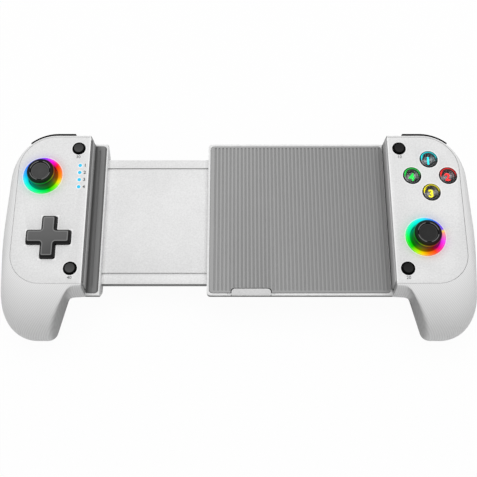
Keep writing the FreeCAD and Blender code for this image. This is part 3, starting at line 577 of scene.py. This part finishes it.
def gripCorners(depth):
    # the grip's outline at a depth below the face
    rim = grip["rim"]
    outer = grip["wallX"] + grip["plateWidth"] + rim
    top = grip["top"] + rim
    low = grip["low"] - rim
    wallX, bulge, reach, slope = (grip[key] for key in ("wallX", "bulge", "tipReach", "edgeSlant"))
    side, tip, edge, base = (grip[key] for key in ("bulgeDepth", "tipDepth", "edgeDepth", "baseDepth"))
    # place, swell, depth of the widest place, tuck, round, how much it widens and tightens, slant
    plan = [
        (wallX, top, 0, grip["topBulge"], base, 1, -1, 0, 0, 0, 0),
        (outer, top, bulge - 2.2, grip["topBulge"], side, -1, -1, grip["topRound"] + rim, 8.0, 0.5, 0),
        (outer + 0.4, 5.0, bulge, -5.0, side, -1, 0, 200.0, 0, 0, 0),
        (outer, low, bulge - 1.9, -reach, tip, -1, 1, grip["lowRound"] + rim, 0, 0.7, 0),
        (outer - grip["tipInner"], low - 0.3, 9.9, 0.3 - reach, tip, 0.6, 1, 3.0, 2.5, 0.3, 0),
        (outer - grip["neckInner"], low, 5.7, -2.8, edge, 0.5, 1, 6.0, 0, 0, slope),
        (wallX, low, 0, -2.2, edge, 1, 1, 0, 0, 0, slope),
    ]
    corners = []
    rounds = []
    for x, y, swellX, swellY, widest, tuckX, tuckY, radius, widen, tighten, slant in plan:
        rise = max(0.0, 1.0 - depth / widest)
        out = math.sqrt(1.0 - rise * rise)
        fall = max(0.0, (depth - widest) / (grip["backDepth"] - widest))
        tuck = grip["backInset"] * (1.0 - math.sqrt(max(0.0, 1.0 - fall * fall)))
        follow = slant * max(0.0, min(depth, base) - widest)
        corners.append((x + swellX * out + tuckX * tuck, y + swellY * out + tuckY * tuck + follow))
        rounds.append(radius + widen * out - tighten * tuck)
    return corners, rounds


def insetOutline(corners, rounds, inset):
    # clockwise outline moved inwards, each corner along its bisector
    slid = []
    softer = []
    count = len(corners)
    for i in range(count):
        here = Vector(corners[i])
        first = (here - Vector(corners[i - 1])).normalized()
        second = (Vector(corners[(i + 1) % count]) - here).normalized()
        normal = Vector((first.y + second.y, -first.x - second.x)).normalized()
        slide = inset / (normal.x * first.y - normal.y * first.x)
        slid.append(tuple(here + normal * slide))
        inside = first.x * second.y - first.y * second.x < 0
        softer.append(max(0.0, rounds[i] + (-inset if inside else inset)) if rounds[i] else 0)
    return slid, softer


def gripSolid(side, first, last, levels, inset):
    # the grip between two depths, or with an inset the hollow that follows it inside
    stack = []
    for i in range(levels + 1):
        level = first + (last - first) * (1.0 - math.cos(math.pi * i / levels)) / 2
        depth = (level - inset) * grip["backDepth"] / (grip["backDepth"] - 2 * inset)
        corners, rounds = gripCorners(depth)
        if inset:
            corners, rounds = insetOutline(corners, rounds, inset)
        outline = roundedOutline(corners, rounds, 16)
        stack.append(([(side * point.x, point.y) for point in outline], -level))
    return stackMesh("grip", stack)


def plateOutline(side, grow, inner):
    # the face plate's outline, grown or shrunk on all sides but the clamp wall
    outer = grip["wallX"] + grip["plateWidth"] + grow
    corners = rectangle(inner, outer, grip["low"] - grow, grip["top"] + grow)
    rounds = [0, grip["lowRound"] + grow, grip["topRound"] + grow, 0]
    return [(side * point.x, point.y) for point in roundedOutline(corners, rounds, 20)]


def bumperOutline(side, steps=16):
    # band round the plate's top edge that makes room for the shoulder button
    centreX = grip["wallX"] + grip["plateWidth"] - grip["topRound"]
    centreY = grip["top"] - grip["topRound"]
    points = []
    for offset, order in ((bumperRoom["outer"], 1), (bumperRoom["inner"], -1)):
        radius = grip["topRound"] + offset
        run = [(bumperRoom["left"], centreY + radius)]
        for i in range(steps + 1):
            turn = math.radians(90 - (90 - bumperRoom["angle"]) * i / steps)
            run.append((centreX + radius * math.cos(turn), centreY + radius * math.sin(turn)))
        points += run[::order]
    return [(side * x, y) for x, y in points]


seat = {"gap": 0.15, "plate": 2.0, "ledge": 1.6, "floor": 4.5, "hollow": 3.5}
port = {"x": 109.7, "depth": 24.0, "width": 9.3, "high": 3.5, "behind": -55.0, "reach": 12.0}
shellPosts = {"places": [(105.0, -17.5), (97.5, 46.2)],
              "radius": 3.0, "bore": 2.1, "top": 14.0, "bridge": 3.0}
bumperRoom = {"inner": -0.4, "outer": 9.0, "left": 93.0, "angle": 46.5, "low": -11.3, "top": -3.1}
triggerRoom = {"left": 93.6, "right": 116.4, "back": 56.8, "front": 90.0, "top": 13.0}
belowBack = -37.0

for side, sign in sides.items():
    shell = addPiece(side + "GripShell", gripSolid(sign, 0, grip["backDepth"], grip["levels"], 0),
                     ribbedPlastic(side + "Grip", sign))
    inside = gripSolid(sign, seat["hollow"], grip["backDepth"] - grip["wall"], grip["hollowLevels"],
                       grip["wall"])
    hollow = addPiece("hollow", inside, shell.data.materials[0])
    for x, y in shellPosts["places"]:
        carve(hollow, prism(circle(sign * x, y, shellPosts["radius"]), belowBack - 3, -shellPosts["top"]))
    carve(shell, hollow.data.copy())
    bpy.data.objects.remove(hollow)
    carve(shell, prism(plateOutline(sign, seat["gap"], grip["wallX"] - 1), -seat["plate"], 1))
    carve(shell, prism(plateOutline(sign, -seat["ledge"], grip["wallX"] + grip["wall"]), -seat["floor"], -1))
    carve(shell, prism(bumperOutline(sign), bumperRoom["low"], bumperRoom["top"]))
    room = rectangle(sign * triggerRoom["left"], sign * triggerRoom["right"], triggerRoom["back"],
                     triggerRoom["front"])
    carve(shell, prism(room, belowBack, -triggerRoom["top"]))
    for x, y in shellPosts["places"]:
        bridge = shellPosts["top"] + shellPosts["bridge"]
        carve(shell, prism(circle(sign * x, y, shellPosts["bore"]), belowBack, -bridge))
    if side == "left":
        half = port["width"] / 2
        low = -port["depth"] - port["high"] / 2
        mouth = rectangle(-port["x"] - half, -port["x"] + half, low, low + port["high"])
        cutter = prism(roundedOutline(mouth, [port["high"] / 2 - 0.01] * 4), 0, port["reach"])
        for vertex in cutter.vertices:    # stood up to face the player
            flat = (vertex.co - faceOrigin) / mm
            vertex.co = onFace(flat.x, port["behind"] + flat.z, flat.y)
        carve(shell, cutter)
    smoothAgain(shell, 32)
    settle(shell, side + "_half", "grip_white", side + "_grip_shell")


print("stage: sticks")
capShape = {"top": 7.1, "edge": 0.9, "radius": 7.6, "thick": 2.0, "dish": 4.8, "dishDepth": 0.6, "neck": 3.6,
            "ridge": 5.5, "ridgeHigh": 0.26, "ridgeWide": 0.3, "notch": 8.0, "lip": 0.34}
domeShape = {"radius": 9.6, "pivot": 7.6, "low": 56.0, "wall": 0.8}
capRubber = {"left": 80, "right": 46}


def domeFinish(name, side):
    # glossy black with a painted glow of the ring's colours towards its lower edge
    finish = Finish(name)
    spot = finish.place()
    x, y, z = finish.axes(spot)
    fine = finish.noise(spot, 900.0, 2.0)
    # painted light from the ring, strongest at the dome's lower edge
    lit = finish.between(z, 1.2 * mm, -2.2 * mm)
    light = finish.mix(lit ** 1.4, black, ringColour(finish, x, y, side))
    return finish.surface(baseColor=finish.mix(fine, grey(8), grey(14)), roughness=0.12 + fine * 0.08,
                          specular=0.3, emission=light, glow=0.3)


def capFinish(name, value, side):
    # grey thumb pad in a black rim, with painted highlights on its grip marks and at the dish's edge, and a
    # painted glow of the ring's colours on its lower lip and rim
    finish = Finish(name)
    spot = finish.place()
    x, y, z = finish.axes(spot)
    reach = finish.reach(x, y) / (capShape["radius"] * mm)
    fine = finish.noise(spot, 1900.0, 4.0, 0.65)
    pad = capShape["dish"] / capShape["radius"]
    # the thin lighter band at the dish's edge is a painted highlight
    zones = finish.ramp(reach, [
        (0.0, grey(value)), (pad - 0.05, grey(value * 0.95)), (pad - 0.015, grey(value + 30)),
        (pad + 0.02, grey(4)), (0.82, grey(12)), (0.9, grey(4)), (1.0, grey(2))])
    top = capShape["top"]
    # painted highlight on the raised grip marks
    raised = finish.between(z, (top + 0.02) * mm, (top + 0.12) * mm)
    base = finish.mix(raised, finish.mix(0.1 + fine * 0.25, zones, grey(6)), grey(112))
    low = top - capShape["thick"]
    # painted glow of the ring's light on the lower lip and the rim
    lip = finish.between(z, (low + 0.62) * mm, (low + 0.58) * mm) * finish.between(reach, 0.93, 0.97)
    rim = finish.between(reach, pad + 0.1, 0.98)
    glow = finish.mix(lip * 0.26 + rim * 0.022, black, ringColour(finish, x, y, side))
    return finish.surface(baseColor=base, roughness=0.5 + (fine - 0.5) * 0.16, specular=0.12,
                          emission=glow, glow=1.0, normal=finish.bump(fine, 0.03 * mm, 0.5))


def capProfile():
    # dished pad, rounded rim, thin lower lip and neck
    top, radius, edge, dish, neck = (capShape[key] for key in ("top", "radius", "edge", "dish", "neck"))
    low = top - capShape["dishDepth"]
    profile = [(0, low)]
    for i in range(1, 7):
        part = i / 6
        profile.append((dish * part, low + 0.12 * part ** 3))
    profile += [(dish + 0.16, low + 0.2), (dish + 0.3, top - 0.16), (dish + 0.42, top - 0.04),
                (dish + 0.6, top)]
    side = radius - capShape["lip"]
    for i in range(7):
        turn = math.radians(90 - 90 * i / 6)
        profile.append((side - edge + edge * math.cos(turn), top - edge + edge * math.sin(turn)))
    under = top - capShape["thick"]
    profile += [(side, under + 0.64), (side + 0.03, under + 0.56), (radius - 0.06, under + 0.54),
                (radius, under + 0.46), (radius, under + 0.2), (radius - 0.2, under)]
    meet = math.sqrt(domeShape["radius"] ** 2 - neck ** 2) - domeShape["pivot"]
    return profile + [(neck + 0.5, under), (neck, under - 0.5), (neck, meet - 0.2), (0, meet - 0.2)]


def ridgeSection(part, roll):
    # raised grip mark on the cap's rim, tapered at both ends
    size = min(1.0, math.sin(math.pi * part) * 3.0 + 0.05)
    return (capShape["ridge"] + capShape["ridgeWide"] * size * math.cos(roll),
            capShape["top"] - 0.06 + capShape["ridgeHigh"] * size * math.sin(roll))


def domeProfile():
    # round skirt about the stick's pivot, outside and inside
    profile = []
    start = math.asin(capShape["neck"] * 0.9 / domeShape["radius"])
    low = math.radians(domeShape["low"])
    for radius, order in ((domeShape["radius"], 1), (domeShape["radius"] - domeShape["wall"], -1)):
        run = []
        for i in range(15):
            turn = start + (low - start) * i / 14
            run.append((radius * math.sin(turn), radius * math.cos(turn) - domeShape["pivot"]))
        profile += run[::order]
    return profile


for side, place in sticks.items():
    rubberCap = capFinish(side + "CapRubber", capRubber[side], side)
    notch = capShape["notch"]
    marks = [arcTube("mark", 90 * i + notch, 90 * (i + 1) - notch, 26, 10, ridgeSection) for i in range(4)]
    capMesh = joined("cap", [lathe("cap", capProfile())] + marks)
    cap = addPiece(side + "StickCap", capMesh, rubberCap, place, 45)
    settle(cap, side + "_stick_body", "control_black", side + "_stick_cap")
    domePlastic = domeFinish(side + "DomePlastic", side)
    dome = addPiece(side + "StickDome", lathe("dome", domeProfile()), domePlastic, place)
    settle(dome, side + "_stick_body", "control_black")


print("stage: light rings")


def ringProfile():
    # flat top that falls away to the bore, with a rounded outer edge
    outer, bore, top = (ringSize[key] for key in ("outer", "bore", "top"))
    return [(bore, -2.0), (outer, -2.0), (outer, top - 0.28), (outer - 0.08, top - 0.1), (outer - 0.28, top),
            (outer - 0.9, top - 0.02), (bore + 1.4, top - 0.25), (bore + 0.5, top - 0.62), (bore, top - 0.95)]


def ringFinish(name, side):
    # lit from below: dim at the bore, full in the middle of its width
    finish = Finish(name)
    x, y, z = finish.axes(finish.place())
    across = (finish.reach(x, y) - ringSize["bore"] * mm) / ((ringSize["outer"] - ringSize["bore"]) * mm)
    shares = ((0.0, 0.25), (0.18, 0.8), (0.4, 1.0), (0.9, 1.0), (1.0, 0.8))
    band = finish.ramp(across, [(place, (share, share, share, 1)) for place, share in shares])
    light = finish.mix(1.0, ringColour(finish, x, y, side), band, "MULTIPLY")
    return finish.surface(baseColor=finish.mix(0.94, light, black), emission=light, glow=0.95,
                          roughness=0.35, specular=0.3)


for side, place in sticks.items():
    ring = addPiece(side + "LightRing", lathe("ring", ringProfile(), 128),
                    ringFinish(side + "RingLight", side), place)
    settle(ring, side + "_half", "ring_diffuser", side + "_light_ring")


print("stage: face buttons")
faceButtons = {
    "radius": 4.97, "proud": 1.5, "flange": 5.65, "clear": 0.3, "foot": -3.5,
    "figure": (6.2, 0.35, -1.72, 0.03), "lower": -0.5,    # size, depth, height, weight
    "figures": {"top": "1", "right": "2", "bottom": "3", "left": "4"},
    "colours": {"top": (0, 238, 245), "right": (255, 30, 30), "bottom": (255, 240, 0), "left": (0, 225, 70)},
}
buttonArc = {"radius": 4.05, "thick": 0.46, "height": 0.02, "start": -14, "end": 190}


def clearFinish():
    # clear plastic: seen through from the front, mirror-like at a slant
    finish = Finish("clearPlastic")
    ripple = finish.noise(finish.place(), 700.0, 1.0)
    slant = finish.node("ShaderNodeFresnel", None, {"IOR": 1.52})
    tint = finish.node("ShaderNodeBsdfTransparent", None, {"Color": (0.97, 0.97, 0.98, 1)})
    gloss = finish.shader(baseColor=grey(60), roughness=0.05, specular=0.9,
                          normal=finish.bump(ripple, 0.01 * mm, 0.2))
    return finish.done(finish.node("ShaderNodeMixShader", None, {0: slant * 0.9, 1: tint, 2: gloss}))


def clearProfile():
    # domed clear cap, a thin shell over the cup
    radius, proud, thin = (faceButtons[key] for key in ("radius", "proud", "clear"))
    profile = []
    for shrink, order in ((0, 1), (thin, -1)):
        run = []
        for i in range(13):
            turn = i / 12 * math.pi / 2
            drop = (proud + 0.35) * (1 - math.cos(turn)) ** 1.15
            run.append(((radius - shrink) * math.sin(turn), proud - shrink - drop))
        run.append((radius - shrink, -2.3))
        profile += run[::order]
    return profile


def coreProfile():
    # stepped dark cup under the clear top
    flange = faceButtons["flange"]
    return [(0, -1.7), (2.5, -1.7), (2.75, -1.5), (2.8, -1.15), (3.15, -1.05), (3.2, -0.75), (3.6, -0.65),
            (3.7, -0.3), (4.1, -0.3), (4.4, -0.45), (4.45, -2.35), (flange, -2.35),
            (flange, faceButtons["foot"]), (0, faceButtons["foot"])]


def figureMesh(text, size, depth, low, bold):
    # plain figure as a thin solid, thickened by a share of its size
    curve = bpy.data.curves.new("figure", "FONT")
    curve.body = text
    curve.size = size * mm
    curve.extrude = depth / 2 * mm
    curve.offset = size * bold * mm
    curve.align_x = "CENTER"
    curve.align_y = "CENTER"
    holder = newObject("figure", curve)
    bpy.context.view_layer.update()
    mesh = bpy.data.meshes.new_from_object(holder.evaluated_get(bpy.context.evaluated_depsgraph_get()))
    bpy.data.objects.remove(holder)
    bpy.data.curves.remove(curve)
    mesh.transform(Matrix.Translation((0, 0, (low + depth / 2) * mm)))
    return mesh


def arcSection(part, roll):
    # coloured arc on the cup's rim, thinner towards both ends
    size = buttonArc["thick"] * min(1.0, 0.2 + 1.7 * math.sin(math.pi * part))
    return buttonArc["radius"] + size * math.cos(roll), buttonArc["height"] + size * 0.6 * math.sin(roll)


def coreFinish():
    # turned dark cup with painted highlights in streaks along its steps on two sides
    finish = Finish("buttonCore")
    spot = finish.place()
    x, y, z = finish.axes(spot)
    # painted highlight: lighter streaks of fine rings on two sides of the cup
    rings = x.maths("SINE", finish.reach(x, y) * (2 * math.pi / (0.62 * mm))) * 0.5 + 0.5
    sweep = x.maths("SINE", x.maths("ARCTAN2", y, x) * 2 + 0.9) * 0.5 + 0.5
    streak = rings * sweep ** 3
    fine = finish.noise(spot, 1500.0, 2.0)
    base = finish.mix(streak, finish.mix(fine, grey(38), grey(52)), grey(205))
    return finish.surface(baseColor=base, roughness=0.22 + fine * 0.08, specular=0.5, coat=0.3,
                          coatRoughness=0.08)


clearPlastic = clearFinish()
coreMaterial = coreFinish()
for name, (x, y) in clusterPlaces.items():
    body = "face_button_" + name + "_body"
    # painted glow: the figures and arcs glow so that they show bright under the clear cap without light
    # reaching them
    colour = lampColour(name + "Figure", faceButtons["colours"][name], 1.5)
    pieces = {
        "Clear": (lathe("clear", clearProfile(), 72), clearPlastic),
        "Core": (lathe("core", coreProfile(), 72), coreMaterial),
        "Figure": (figureMesh(faceButtons["figures"][name], *faceButtons["figure"]), colour),
        "Arc": (arcTube("arc", buttonArc["start"], buttonArc["end"], 36, 8, arcSection), colour),
    }
    for kind, (mesh, material) in pieces.items():
        lower = faceButtons["lower"] if kind == "Figure" else 0
        piece = addPiece(name + "Button" + kind, mesh, material, (x, y + lower))
        settle(piece, body, "button_clear", *(["face_button_" + name] if kind == "Clear" else []))


print("stage: small buttons")
smallButtons = {
    "radius": 3.68, "proud": 1.0, "flange": 4.1, "top": 2.62, "soft": 0.75, "under": -2.3, "foot": -3.5,
    "values": {"start": 42, "home": 42, "select": 76, "turbo": 80},
}


def smallProfile():
    # round button with a soft edge, on a flange under the plate
    radius, proud, top, soft = (smallButtons[key] for key in ("radius", "proud", "top", "soft"))
    profile = [(0, proud - 0.04), (top * 0.6, proud - 0.02), (top, proud)]
    for i in range(1, 8):
        turn = math.radians(90 - 90 * i / 7)
        profile.append((top + (radius - top) * math.cos(turn), proud - soft + soft * math.sin(turn)))
    flange, under, foot = (smallButtons[key] for key in ("flange", "under", "foot"))
    return profile + [(radius, under), (flange, under), (flange, foot), (0, foot)]


def smallFinish(name, value):
    # satin top inside a glossy black collar; the top carries painted shading, lighter towards the player
    finish = Finish(name)
    spot = finish.place()
    x, y, z = finish.axes(spot)
    fine = finish.noise(spot, 2300.0, 3.0, 0.6)
    inside = finish.between(finish.reach(x, y), 2.7 * mm, 2.5 * mm)
    # painted shading across the top, darker away from the player and lighter towards the player
    shaded = finish.between(y, 2.6 * mm, -2.6 * mm)
    top = finish.mix(shaded * 0.7 + fine * 0.3, grey(value * 0.72), grey(value * 1.12))
    base = finish.mix(inside, black, top)
    return finish.surface(baseColor=base, roughness=0.42 + inside * 0.15, specular=0.04,
                          normal=finish.bump(fine, 0.03 * mm, 0.4))


for name, place in smallPlaces.items():
    button = addPiece(name + "Button", lathe("button", smallProfile(), 72),
                      smallFinish(name + "ButtonTop", smallButtons["values"][name]), place)
    settle(button, name + "_button_body", "control_black", name + "_button")


print("stage: direction pad")
directionPad = {"span": 24.0, "arm": 7.9, "proud": 2.8, "low": -4.4,
                "endRound": 1.25, "innerRound": 0.5, "chamfer": 1.1}


def crossOutline(inset):
    span = directionPad["span"] / 2 - inset
    arm = directionPad["arm"] / 2 - inset
    corners = [(arm, arm), (arm, span), (-arm, span), (-arm, arm), (-span, arm), (-span, -arm),
               (-arm, -arm), (-arm, -span), (arm, -span), (arm, -arm), (span, -arm), (span, arm)]
    end = max(0.3, directionPad["endRound"] - inset * 0.55)
    return roundedOutline(corners, [directionPad["innerRound"] + inset, end, end] * 4, 6)


def crossMesh():
    # upright sides, a rounded slant, and a thin raised brim round a faintly sunk top
    proud = directionPad["proud"]
    chamfer = directionPad["chamfer"]
    levels = [(0, directionPad["low"]), (0, proud - chamfer - 0.15), (0.05, proud - chamfer),
              (chamfer * 0.5, proud - chamfer * 0.5), (chamfer * 0.88, proud - 0.12),
              (chamfer, proud - 0.03), (chamfer + 0.14, proud), (chamfer + 0.42, proud - 0.02),
              (chamfer + 0.6, proud - 0.06)]
    mesh = stackMesh("cross", [(crossOutline(inset), height) for inset, height in levels])
    mesh.transform(Matrix.Translation(-faceOrigin))
    return mesh


def padFinish():
    # black sides, a grey top with painted shade darkening it towards the player, and a painted highlight on
    # its brim
    finish = Finish("padPlastic")
    spot = finish.place()
    x, y, z = finish.axes(spot)
    fine = finish.noise(spot, 2300.0, 3.0, 0.6)
    proud = directionPad["proud"]
    end = directionPad["span"] / 2 * mm
    top = finish.between(z, (proud - 0.16) * mm, (proud - 0.09) * mm)
    # painted highlight on the brim round the top
    brim = finish.between(z, (proud - 0.045) * mm, (proud - 0.012) * mm)
    # painted shade across the top, darker towards the player
    face = finish.mix(finish.between(y, end, -end), grey(112), grey(74))
    face = finish.mix(brim * 0.75, face, grey(142))
    slope = finish.between(z, (proud - 1.3) * mm, (proud - 0.9) * mm)
    side = finish.mix(slope, grey(2), grey(26))
    base = finish.mix(top, side, finish.mix(fine * 0.15, face, grey(60)))
    return finish.surface(baseColor=base, roughness=0.4 + top * 0.1, specular=0.2,
                          normal=finish.bump(fine, 0.03 * mm, 0.4))


pad = addPiece("directionPadCross", crossMesh(), padFinish(), padPlace, 30)
settle(pad, "direction_pad_body", "control_black", "direction_pad")


print("stage: base, mat and slide")
whites = {
    # painted shade on the base's foot
    "base": satinPlastic("baseWhite", 232, 0.05, 0.45, foot={"top": onFace(0, 0, -13.9).z, "value": 96}),
    "cover": satinPlastic("coverGrey", 105, 0.05, 0.5),
    # painted shade on the slide's sides
    "slide": satinPlastic("slideWhite", 231, 0.06, 0.4, shadedSideValue=132),
    "lip": satinPlastic("lipGrey", 208, 0.05, 0.45),
}
mouldings = {    # node: piece, its white, how wide its edges are rounded and in how many steps
    "base_housing": ("baseHousing", "base", 0.25, 2),
    "base_cover": ("baseCover", "cover", 0.2, 2),
    "clamp_ledge": ("clampLedge", "base", 0.1, 2),
    "slider_plate": ("sliderPlate", "slide", 0.12, 2),
    "phone_lip": ("phoneLip", "lip", 0.4, 3),
}
for node, (name, key, width, steps) in mouldings.items():
    dress(node, name, whites[key], width, steps)
padLow, padHigh = (corner.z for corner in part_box("right_wall_pad"))
wallTop = {"left": 0.3, "right": 0.8}    # shade of the wall pads' upper edge
for side in sides:
    # painted shade: the wall pads darken towards the mat and along their upper edge
    shares = [(0.0, 0.22), (0.24, 0.28), (0.34, 0.6), (0.6, 0.76), (0.78, 0.88), (0.88, 0.92),
              (0.92, wallTop[side]), (1.0, wallTop[side])]
    wallRubber = rubber(side + "WallRubber", 190, 0.65, 0.05,
                        {"low": padLow, "high": padHigh, "shares": shares})
    dress(side + "_wall_pad", side + "WallPad", wallRubber, 0.3, 2)

mat = {
    "left": -16.3, "right": 82.8, "front": -26.7, "back": 61.9, "corner": 2.0, "top": -13.0, "thick": 1.6,
    "ribs": 45, "pitch": 2.157, "first": 0.62, "margin": 1.1, "groove": 1.1, "depth": 0.45,
    "notchLeft": -4.6, "notchRight": 17.9, "notchBack": -23.9,
}


def grooveCutter(middle, half, front, back, steps=4):
    # cutter for one groove with rounded ends
    outline = roundedOutline(rectangle(middle - half, middle + half, front, back), [half - 0.01] * 4, steps)
    return prism(outline, mat["top"] - mat["depth"], mat["top"] + 1)


def ribGrooves():
    grooves = []
    for i in range(mat["ribs"]):
        x = mat["left"] + mat["first"] + mat["pitch"] * (i + 1)
        grooves.append(grooveCutter(x, mat["groove"] / 2, mat["front"] + mat["margin"],
                                    mat["back"] - mat["margin"]))
    return joined("grooves", grooves)


outline = roundedOutline(rectangle(mat["left"], mat["right"], mat["front"], mat["back"]), [mat["corner"]] * 4)
# painted shade: the groove floors are darker than the tops of the ribs
matRubber = rubber("matRubber", 168, 0.68, 0.07, {
    "low": onFace(0, 0, mat["top"] - mat["depth"]).z, "high": onFace(0, 0, mat["top"]).z,
    "shares": [(0.0, 0.82), (0.25, 0.84), (0.8, 0.93), (0.95, 1.0), (1.0, 1.0)]},
    {"from": 0.0, "to": mat["right"], "share": 0.5, "value": 128})
ribbed = addPiece("ribbedMat", prism(outline, mat["top"] - mat["thick"], mat["top"]), matRubber)
carve(ribbed, ribGrooves())
notch = roundedOutline(rectangle(mat["notchLeft"], mat["notchRight"], mat["front"] - 3, mat["notchBack"]),
                       [0, 0, mat["corner"], mat["corner"]])
carve(ribbed, prism(notch, mat["top"] - 4, mat["top"] + 2))
roundEdges(ribbed, 0.16, 2)
smoothAgain(ribbed)
settle(ribbed, "right_half", "mat_grey", "base_mat")

# the ledge's pad: one groove with rounded ends, with painted shade along both long sides and a painted
# highlight, as of a raised ridge, beside the groove
ledgePad = {"left": -83.5, "right": -77.02, "front": -26.7, "back": 62.0, "round": 2.0, "wallRound": 0.4,
            "groove": -80.7, "half": 0.4, "end": 3.0}
clampRubber = rubber("clampRubber", 128, 0.7, 0.06, {
    "axis": 0, "low": ledgePad["left"] * mm, "high": ledgePad["right"] * mm,
    "shares": [(0.0, 0.4), (0.16, 0.5), (0.26, 0.72), (0.36, 0.82), (0.5, 0.82), (0.56, 1.02), (0.84, 1.0),
               (0.93, 0.6), (1.0, 0.45)]})
outline = roundedOutline(rectangle(ledgePad["left"], ledgePad["right"], ledgePad["front"], ledgePad["back"]),
                         [ledgePad[key] for key in ("wallRound", "round", "round", "wallRound")])
ledgeStrip = addPiece("clampPad", prism(outline, mat["top"] - mat["thick"], mat["top"]), clampRubber)
carve(ledgeStrip, grooveCutter(ledgePad["groove"], ledgePad["half"], ledgePad["front"] + ledgePad["end"],
                               ledgePad["back"] - ledgePad["end"], 5))
roundEdges(ledgeStrip, 0.16, 2)
smoothAgain(ledgeStrip)
settle(ledgeStrip, "left_half", "mat_grey", "clamp_pad")


print("stage: shoulder buttons and triggers")
shoulderBlack = darkPlastic("shoulderBlack", 1, 0.5, 0.02, specular=0.03)
triggerBlack = darkPlastic("triggerBlack", 26, 0.42, 0.05, specular=0.35)
for side in sides:
    dress(side + "_bumper", side + "Bumper", shoulderBlack, 0.2, 3)
    dress(side + "_trigger", side + "Trigger", triggerBlack, 0.5, 3)


print("stage: lamps and figures")
lampFigures = {"beside": 2.8, "size": 2.6}
smallFigures = {"below": 5.2, "size": 2.5}
printed = {"depth": 0.02, "height": 0.005}
ink = darkPlastic("printedInk", 40, 0.5, 0.01)
lampCyan = lampColour("lampCyan", (0, 205, 250), 0.9)
lampBar = frame["nodes"]["indicator_lamps"].data.materials
lampBar.clear()
lampBar.append(lampCyan)
for number, (x, y) in enumerate(lampPlaces[::-1], 1):
    mesh = figureMesh(str(number), lampFigures["size"], printed["depth"], printed["height"], 0.03)
    digit = addPiece("lampFigure" + str(number), mesh, ink, (x + lampFigures["beside"], y))
    settle(digit, "left_half", "control_black")

paleInk = darkPlastic("paleInk", 105, 0.5, 0.01)
for number, (x, y) in enumerate(smallPlaces.values(), 1):
    mesh = figureMesh(str(number * 10), smallFigures["size"], printed["depth"], printed["height"], 0.015)
    label = addPiece("buttonFigure" + str(number), mesh, paleInk, (x, y - smallFigures["below"]))
    settle(label, "right_half" if x > 0 else "left_half", "control_black")


print("stage: inner parts")
inner = {
    "steel": brushedMetal("steel", 190),
    "screws": brushedMetal("screwSteel", 170, 0.35, (1, 1, 1)),
    "board": satinPlastic("boardGreen", 90, 0.02, 0.4),
    "switch": darkPlastic("switchBlack", 40, 0.5),
    "foil": brushedMetal("batteryFoil", 200, 0.4),
}
for node, held in frame["nodes"].items():
    if held.hide_render or node == "indicator_lamps":
        continue
    key = ("board" if "board" in node else "screws" if "screws" in node else "foil" if node == "battery" else
           "steel" if slots[node] == "steel" else "switch")
    held.data.materials.clear()
    held.data.materials.append(inner[key])


print("stage: floor, light and camera")
studio = {"sky": 0.48, "key": 6.75, "elevation": 70.0, "focal": 790.0, "frame": 477.0,
          "scale": 1.85, "centreX": 239.0, "sensor": 36.0, "floor": 3.0}


def floorFinish():
    # pale floor that keeps a soft shadow and shows white to the camera
    finish = Finish("paleFloor")
    spot = finish.place()
    cloud = finish.noise(spot, 3.0, 2.0)
    plain = finish.shader(baseColor=finish.mix(cloud, grey(240), grey(244)), roughness=0.8, specular=0.2)
    bright = finish.node("ShaderNodeEmission", None, {"Color": white, "Strength": 1.0})
    seen = finish.node("ShaderNodeLightPath")
    return finish.done(finish.node("ShaderNodeMixShader", None, {0: seen * 0.96, 1: plain, 2: bright}))


floorMesh = bpy.data.meshes.new("floor")
far = studio["floor"]
floorMesh.from_pydata([(x, y, 0) for x, y in rectangle(-far, far, -far, far)], [], [(0, 1, 2, 3)])
floorMesh.materials.append(floorFinish())
floor = newObject("floor", floorMesh)
floor.location = (0, 0, -0.0005)


def skyFinish():
    # dim white light all round that shows plain white to the camera
    sky = Finish("studio", world=True)
    dim, plain = (sky.node("ShaderNodeBackground", None, {"Color": white, "Strength": strength})
                  for strength in (studio["sky"], 1.0))
    seen = sky.node("ShaderNodeLightPath")
    return sky.done(sky.node("ShaderNodeMixShader", None, {0: seen, 1: dim, 2: plain}))


bpy.context.scene.world = skyFinish()


def softLamp(name, place, target, size, power):
    lamp = bpy.data.lights.new(name, "AREA")
    lamp.shape = "RECTANGLE"
    lamp.size, lamp.size_y = size
    lamp.energy = power
    holder = newObject(name, lamp)
    holder.location = place
    holder.rotation_euler = (Vector(target) - Vector(place)).to_track_quat("-Z", "Y").to_euler()


softLamp("overhead", (0.0, 0.35, 1.0), (0, 0, 0), (1.1, 0.8), studio["key"])

distance = studio["focal"] / studio["scale"]
rise = math.radians(studio["elevation"])
camera = bpy.data.cameras.new("camera")
camera.sensor_width = studio["sensor"]
camera.lens = studio["sensor"] * studio["focal"] / studio["frame"]
camera.shift_x = -(studio["centreX"] - studio["frame"] / 2) / studio["frame"]
camera.clip_start = 0.01
viewer = newObject("camera", camera)
viewer.location = onFace(0, -distance * math.cos(rise), distance * math.sin(rise))
viewer.rotation_euler = (math.radians(90) - rise, 0, 0)
bpy.context.scene.camera = viewer
bpy.context.scene.view_settings.view_transform = "Standard"
